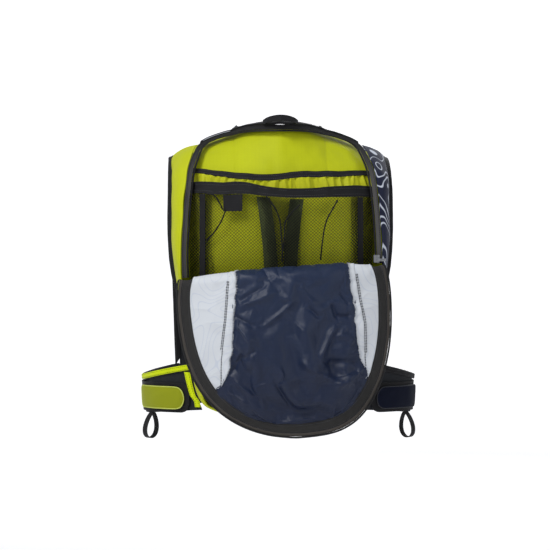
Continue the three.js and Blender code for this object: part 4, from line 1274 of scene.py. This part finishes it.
def row_of(name, pattern, centres, ahead, up, material, slot, *nodes):
    """Copies of one peg at each centre. X of the peg lies along ahead, Z along up."""
    points, faces = pattern
    made = centres[:, None]
    for axis, way in enumerate((ahead, np.cross(up, ahead), up)):
        made = made + points[None, :, axis, None] * way[:, None]
    every = [[v + k * len(points) for v in f] for k in range(len(centres)) for f in faces]
    mesh = bpy.data.meshes.new(name)
    mesh.from_pydata([tuple(p) for p in made.reshape(-1, 3)], [], every)
    piece = smooth(linked(name, mesh), 60)
    return done(piece, material, slot, *nodes)


def spaced(path, up, pitch):
    """Evenly spaced places along a path, with the ways ahead and up there."""
    step = np.linalg.norm(np.diff(path, axis=0), axis=1)
    at = np.concatenate([[0], np.cumsum(step)])
    wanted = np.arange(pitch / 2, at[-1], pitch)
    centres, rise, ahead = (
        np.array([np.interp(wanted, at, column) for column in along.T]).T
        for along in (path, up, np.gradient(path, axis=0))
    )
    rise = unit(rise)
    return centres, unit(ahead - rise * (ahead * rise).sum(1)[:, None]), rise


def nearest_way(points, node):
    """The way square to a panel, at the place of it nearest to each point."""
    fine = fine_grid(outer[node], 6, 400)
    square = facing(fine).reshape(-1, 3)
    fine = fine.reshape(-1, 3)
    return np.array([square[np.argmin(((fine - p) ** 2).sum(1))] for p in points])


# %% Zip coils
turn_of_coil = peg(0.52 * mm, 2.4 * mm)
coil_pitch = 1.3 * mm
for node, tape, lift in (
    ("zip_coil_pack", "zip_tape_pack", 0.2), ("zip_coil_flap", "zip_tape_flap", 0.9)
):
    line = (outer[node].mean(0) + inner[node].mean(0)) / 2
    line = eased(line, 500)
    square = nearest_way(line, tape)
    centres, ahead_way, rise = spaced(line + square * lift * mm, square, coil_pitch)
    row_of(node + "_turns", turn_of_coil, centres, np.cross(ahead_way, rise), rise, coil_nylon,
           "black_coil", node)
    across_way = np.cross(unit(np.gradient(line, axis=0)), square)
    middle_line = line + square * (lift - 0.45) * mm
    core = np.stack([middle_line + across_way * s * mm for s in (-1.0, 1.0)])
    tape_core = sheet_of(node + "_cord", core)
    backed(tape_core, 0.5 * mm)
    done(tape_core, coil_nylon, "black_coil")
    print(node, "turns:", len(centres))


# %% Stitches
stitch = peg(0.24 * mm, 1.7 * mm, 6, 0.8)
seam_stitch = peg(0.5 * mm, 2.3 * mm, 6, 0.8)


def stitched(name, points, square, pitch, lift, material, slot, pattern=stitch):
    """A row of stitches along a line of places. pitch and lift are in millimetres."""
    way = spaced(points + square * lift * mm, square, pitch * mm)
    return row_of(name, pattern, *way, material or thread_dark, slot)


def panel_stitches(name, node, share, height=None, along=False, lift=0.12, pitch=2.6,
                   material=None, slot="black_webbing"):
    """Stitches along a panel's rows, at this share of the way across it, or along its columns."""
    fine = shaped(fine_grid(outer[node], 60, 300), height)
    square = facing(fine)
    if along:
        fine, square = fine.swapaxes(0, 1), square.swapaxes(0, 1)
    k = int(round(share * (len(fine) - 1)))
    return stitched(name, fine[k], square[k], pitch, lift, material, slot)


for node in (*bindings, "sleeve_band", "net_band", "hem_binding", "yoke"):
    panel_stitches(node + "_stitches_a", node, 0.22, lift=0.45, material=thread_grey)
    panel_stitches(node + "_stitches_b", node, 0.78, lift=0.45, material=thread_grey)
for hundredths in (10, 68, 80):
    panel_stitches(f"border_stitches_{hundredths}", "zip_tape_flap", hundredths / 100,
                   border_profile, lift=0.65, material=thread_grey, slot="dark_zip_tape")
panel_stitches("pack_zip_stitches", "zip_tape_pack", 0.82, lift=0.3, slot="dark_zip_tape")


# %% Seams of the flap
for side, seam, offsets in (("left", seam_left, (0.0, -1.9)), ("right", seam_right, (0.0, 1.7))):
    node = f"flap_side_{side}"
    for k, offset in enumerate(offsets):
        places = eased(seam, 140) + (offset * mm, 0)
        if k:  # the second row stops short of the seam's end
            places = places[: 96 if side == "left" else 110]
        line, square = on_panel(places, node, side_height(side))
        stitched(f"flap_seam_{side}_{k}", smoothed(line), square, 3.1, 0.4, thread_dark,
                 "pale_cloth", seam_stitch)

# %% Pale piping along the arch, on the left of the yoke
arch = shaped(fine_grid(outer["zip_tape_pack"], 9, 500), None, 0.5 * mm)
rim = max((arch[0], arch[-1]), key=lambda row: row[:, 2].max())
rim = rim[(rim[:, 0] > -92 * mm) & (rim[:, 0] < -59 * mm) & (rim[:, 2] > -12 * mm)]
tube("arch_piping", rim, 0.35 * mm, pale_raw, "pale_cloth")
print("arch piping:", len(rim), "points")

# %% Frayed threads along the raw edges
fray = peg(0.22 * mm, 2.6 * mm, 5)
for side in ("left", "right"):
    node = f"flap_side_{side}"
    fine = side_points(side, 80, 240)
    square = facing(fine)
    raw, beside = (0, 1) if side == "left" else (-1, -2)
    edge, up = fine[raw], square[raw]
    inward = unit(edge - fine[beside])
    number = np.arange(len(edge))
    turn = np.stack([chance(number, number * 3, number * 7, seed) for seed in (1, 2, 3)], -1)
    ahead_way = unit(inward + 0.9 * turn)
    ahead_way = unit(ahead_way - up * (ahead_way * up).sum(1)[:, None] * 0.7)
    rise = unit(up - ahead_way * (up * ahead_way).sum(1)[:, None])
    centres = edge + up * 0.5 * mm + inward * (0.2 + 0.7 * turn[:, :1]) * mm
    row_of(f"flap_fray_{side}", fray, centres, ahead_way, rise, pale_raw, "pale_cloth")


# %% [markdown]
# ## The side wings
# Each wing is padded mesh-backed cloth with a bright trim along its top, a tongue that
# wraps forward, and a rounded patch edged with dark tape.

# %% Wings
def plump(middle, amount, size, seed):
    """A padded strip: high in the middle, pulled down along its stitches."""
    def height(p, u, v):
        return mm * (middle * (1 - (2 * u - 1) ** 4) + amount * uneven(p, size * mm, seed))
    return height


trim_profile = plump(0.8, 0.45, 6, 53)
wing_trims = {  # the trim's cloth, its slot and its thread
    "left": (
        bright_lime, "lime_cloth", thread_dark
    ), "right": (webbing, "black_webbing", thread_grey),
}
for side, (trim_cloth, slot, thread) in wing_trims.items():
    sewn(f"wing_{side}_cloth", f"wing_{side}", 26, 120, gentle(0.7, 18, 51), 0.5, mesh_cloth,
         "dark_mesh_cloth", wider=0.8 * mm)
    sewn(f"wing_tongue_{side}_cloth", f"wing_tongue_{side}", 34, 130, rolled(0.5, 16, 52, 0.3),
         0.5, band_tape, "black_webbing")
    for node in (f"wing_trim_top_{side}", f"wing_trim_root_{side}"):
        sewn(node + "_cloth", node, 13, 130, trim_profile, 0.5, trim_cloth, slot)
        for tenths in (2, 8):
            panel_stitches(f"{node}_stitches_{tenths}", node, tenths / 10, trim_profile,
                           lift=0.12, pitch=2.8, material=thread, slot=slot)

# %% Seam tapes where the wings meet the front
for side in ("left", "right"):
    fine = fine_grid(outer[f"wing_{side}"], 30, 200)
    square = facing(fine)
    front_first = fine[:, 0, 1].mean() > fine[:, -1, 1].mean()
    at_edge, further_in = (0, 8) if front_first else (-1, -9)
    edge, up = fine[:, at_edge], square[:, at_edge]
    ahead_way = unit(edge - fine[:, further_in])
    strip = np.stack([
        edge + ahead_way * a * mm + up * (1.1 - 0.15 * abs(a)) * mm
        for a in (-3.4, -1.7, 0, 1.7, 3.4)
    ])
    piece = backed(sheet_of(f"wing_seam_{side}_tape", fine_grid(strip, 9, 60)), 1.0 * mm)
    done(piece, webbing, "black_webbing")
    print(piece.name, "at y", round(float(edge[:, 1].mean()) / mm), "mm")

# %% Patches with a piped edge
def outward(faces):
    """How far a side faces away from the wearer."""
    middle = Vector(body_middle)
    return sum(f.normal.dot(f.calc_center_median() - middle) for f in faces)


patches_of = {  # the patch's cloth, its piping and their slot
    "left": (
        patch_lime, piping, "lime_cloth"
    ), "right": (navy_plain, piping_dark, "navy_print_cloth"),
}
for side, (patch_cloth, patch_piping, slot) in patches_of.items():
    node = f"wing_patch_{side}"
    bm = slab(node)
    found, wall = sides(bm)
    found.sort(key=outward)
    bmesh.ops.delete(bm, geom=[f for f in bm.faces if f not in found[1]], context="FACES")
    mesh = bpy.data.meshes.new(node + "_cloth")
    bm.to_mesh(mesh)
    bm.free()
    piece = linked(node + "_cloth", mesh)
    modify(piece, "SUBSURF", levels=3, render_levels=3)
    bm = bmesh.new()
    bm.from_mesh(piece.data)
    bm.normal_update()
    rim = [v for v in bm.verts if v.is_boundary]
    ring = [rim[0]]
    while len(ring) < len(rim):
        near = [e.other_vert(ring[-1]) for e in ring[-1].link_edges if e.is_boundary]
        ring.append(next(v for v in near if v not in ring[-2:]))
    line = np.array([list(v.co + v.normal * 0.5 * mm) for v in ring + ring[:1]])
    for v in bm.verts:
        inside = 1 - math.exp(-np.linalg.norm(line - v.co, axis=1).min() / (3 * mm))
        v.co += v.normal * mm * (0.4 + 1.1 * inside + 0.9 * inside * noise.noise(v.co / (17 * mm)))
    bm.to_mesh(piece.data)
    bm.free()
    backed(piece, wall, 0.5)
    done(piece, patch_cloth, slot, node)
    tube(f"wing_piping_{side}", line, 0.7 * mm, patch_piping, slot)
    print(node, "outline:", len(ring), "points")

# %% Loops of webbing
for node in ("side_loop_left", "side_loop_right", "haul_loop"):
    sewn(node + "_webbing", node, 7, 120, None, 0.6, webbing, "black_webbing")


# %% [markdown]
# ## The front
# Two stretch pockets for soft flasks, and two pairs of webs with a closed clip each. The
# photograph doesn't show them, so they are plain and neat.

# %% Flask pockets
pocket_wrinkles = gentle(0.9, 17, 61)
for side in ("left", "right"):
    node = f"flask_pocket_{side}"
    sewn(node + "_cloth", node, 60, 110, pocket_wrinkles, 0.6, *coloured[side])
    node = f"flask_band_{side}"
    sewn(node + "_tape", node, 9, 90, gentle(0.4, 7, 62), 0.6, band_tape, "black_webbing")
    for node in (f"chest_web_high_{side}", f"chest_web_low_{side}"):
        sewn(node + "_webbing", node, 9, 40, gentle(0.2, 9, 63), 0.7, webbing, "black_webbing")

# %% Stitches of the front
for side in ("left", "right"):
    rows_sewn = (
        (f"flask_pocket_{side}", pocket_wrinkles, 0.35, coloured[side][1]),
        (f"front_panel_{side}", front_wrinkles[side], 0.3, "dark_mesh_cloth"),
    )
    for way, along in (("down", False), ("across", True)):
        for hundredths in (4, 96):
            for node, wrinkles, lift, slot in rows_sewn:
                panel_stitches(f"{node}_stitches_{way}_{hundredths}", node, hundredths / 100,
                               wrinkles, along, lift=lift, material=thread_grey, slot=slot)

# %% Chest clips
for level in ("high", "low"):
    node = f"chest_clip_{level}"
    piece = cloth(node + "_body", node, 7, 9)
    modify(piece, "SOLIDIFY", thickness=wall_of[node], offset=-1)
    low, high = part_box(node)
    middle = (Vector(low) + Vector(high)) / 2

    def on_front(face):
        off = face.calc_center_median() - middle
        return face.normal.y > 0.8 and abs(off.x) < 8 * mm and abs(off.z) < 6 * mm

    print(node, "panel faces:", pick(piece, on_front))
    bpy.ops.mesh.inset(thickness=0.8 * mm)
    bpy.ops.transform.translate(value=(0, -1.2 * mm, 0))
    bpy.ops.object.mode_set(mode="OBJECT")
    bevelled(piece, 0.6 * mm, 2, 40)
    smooth(piece, 40)
    done(piece, plastic, "black_plastic", node)


# %% [markdown]
# ## The slider
# A small pale slider sits where the zip was left, with its pull below it.

# %% Slider and pull
for node, bevel in (("slider", 0.7 * mm), ("pull", 0.5 * mm)):
    low, high = (Vector(corner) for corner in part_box(node))
    centre = (low + high) / 2
    bpy.ops.object.select_all(action="DESELECT")
    bpy.ops.mesh.primitive_cube_add(size=1, location=centre)
    piece = bpy.context.object
    piece.name = piece.data.name = node + "_metal"
    piece.scale = (high - low) * 0.96
    bpy.ops.object.transform_apply(location=True, rotation=True, scale=True)
    bpy.ops.object.mode_set(mode="EDIT")
    bpy.ops.mesh.select_all(action="SELECT")
    bpy.ops.mesh.subdivide(number_cuts=2)
    bpy.ops.object.mode_set(mode="OBJECT")

    def on_middle(face):
        off = (face.calc_center_median() - centre).xz.length
        return abs(face.normal.y) > 0.9 and off < 1.2 * mm

    pick(piece, on_middle)
    bpy.ops.mesh.extrude_region_shrink_fatten(TRANSFORM_OT_shrink_fatten={"value": -0.8 * mm})
    bpy.ops.object.mode_set(mode="OBJECT")
    bevelled(piece, bevel, 2, 50)
    smooth(piece, 40)
    done(piece, metal, "pale_metal", node)

# %% [markdown]
# ## The sheets of cloth
# The sheets are listed with what holds each of them, and the size of each cut is printed.
# Each sheet was measured along its wrinkles when its grid was laid, which is the size of its
# cut. The panels that carry the load have thin foam mesh inside, so they are padded.

# %% Sheets
sheets = [
    ("sleeve_cloth", "gathered", ["sleeve_band_tape", "back_panel_cloth"]),
    ("net_band_tape", "stretched", ["sleeve_cloth"]),
    ("flap_lining_cloth", "hung", ["flap_border_tape"]),
    ("flap_side_left_cloth", "hung", ["flap_border_tape"]),
    ("flap_side_right_cloth", "hung", ["flap_border_tape"]),
    ("flap_border_tape", "hung", ["hem_binding_tape"]),
    ("pack_shell_cloth", "hung", ["pack_zip_tape"]),
    ("pack_side_left_cloth", "stretched", ["back_panel_cloth"]),
    ("pack_side_right_cloth", "stretched", ["back_panel_cloth"]),
    ("wing_tongue_left_cloth", "stretched", ["wing_left_cloth"]),
    ("wing_tongue_right_cloth", "stretched", ["wing_right_cloth"]),
    ("flask_pocket_left_cloth", "hung", ["front_panel_left_cloth"]),
    ("flask_pocket_right_cloth", "hung", ["front_panel_right_cloth"]),
]
for name, held, carriers in sheets:
    width, length, area = cuts[name]
    print(name, "cut:", round(width / mm), "x", round(length / mm), "mm")

# %% Sheets counted
print("declared:", len(sheets) + 1, "sheets")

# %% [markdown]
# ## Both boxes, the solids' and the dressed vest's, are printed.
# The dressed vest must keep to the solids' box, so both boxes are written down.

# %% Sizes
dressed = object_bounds()
for label, box in (("solids:", solids_box), ("dressed:", dressed)):
    print(label, [[round(c / mm, 1) for c in corner] for corner in box])
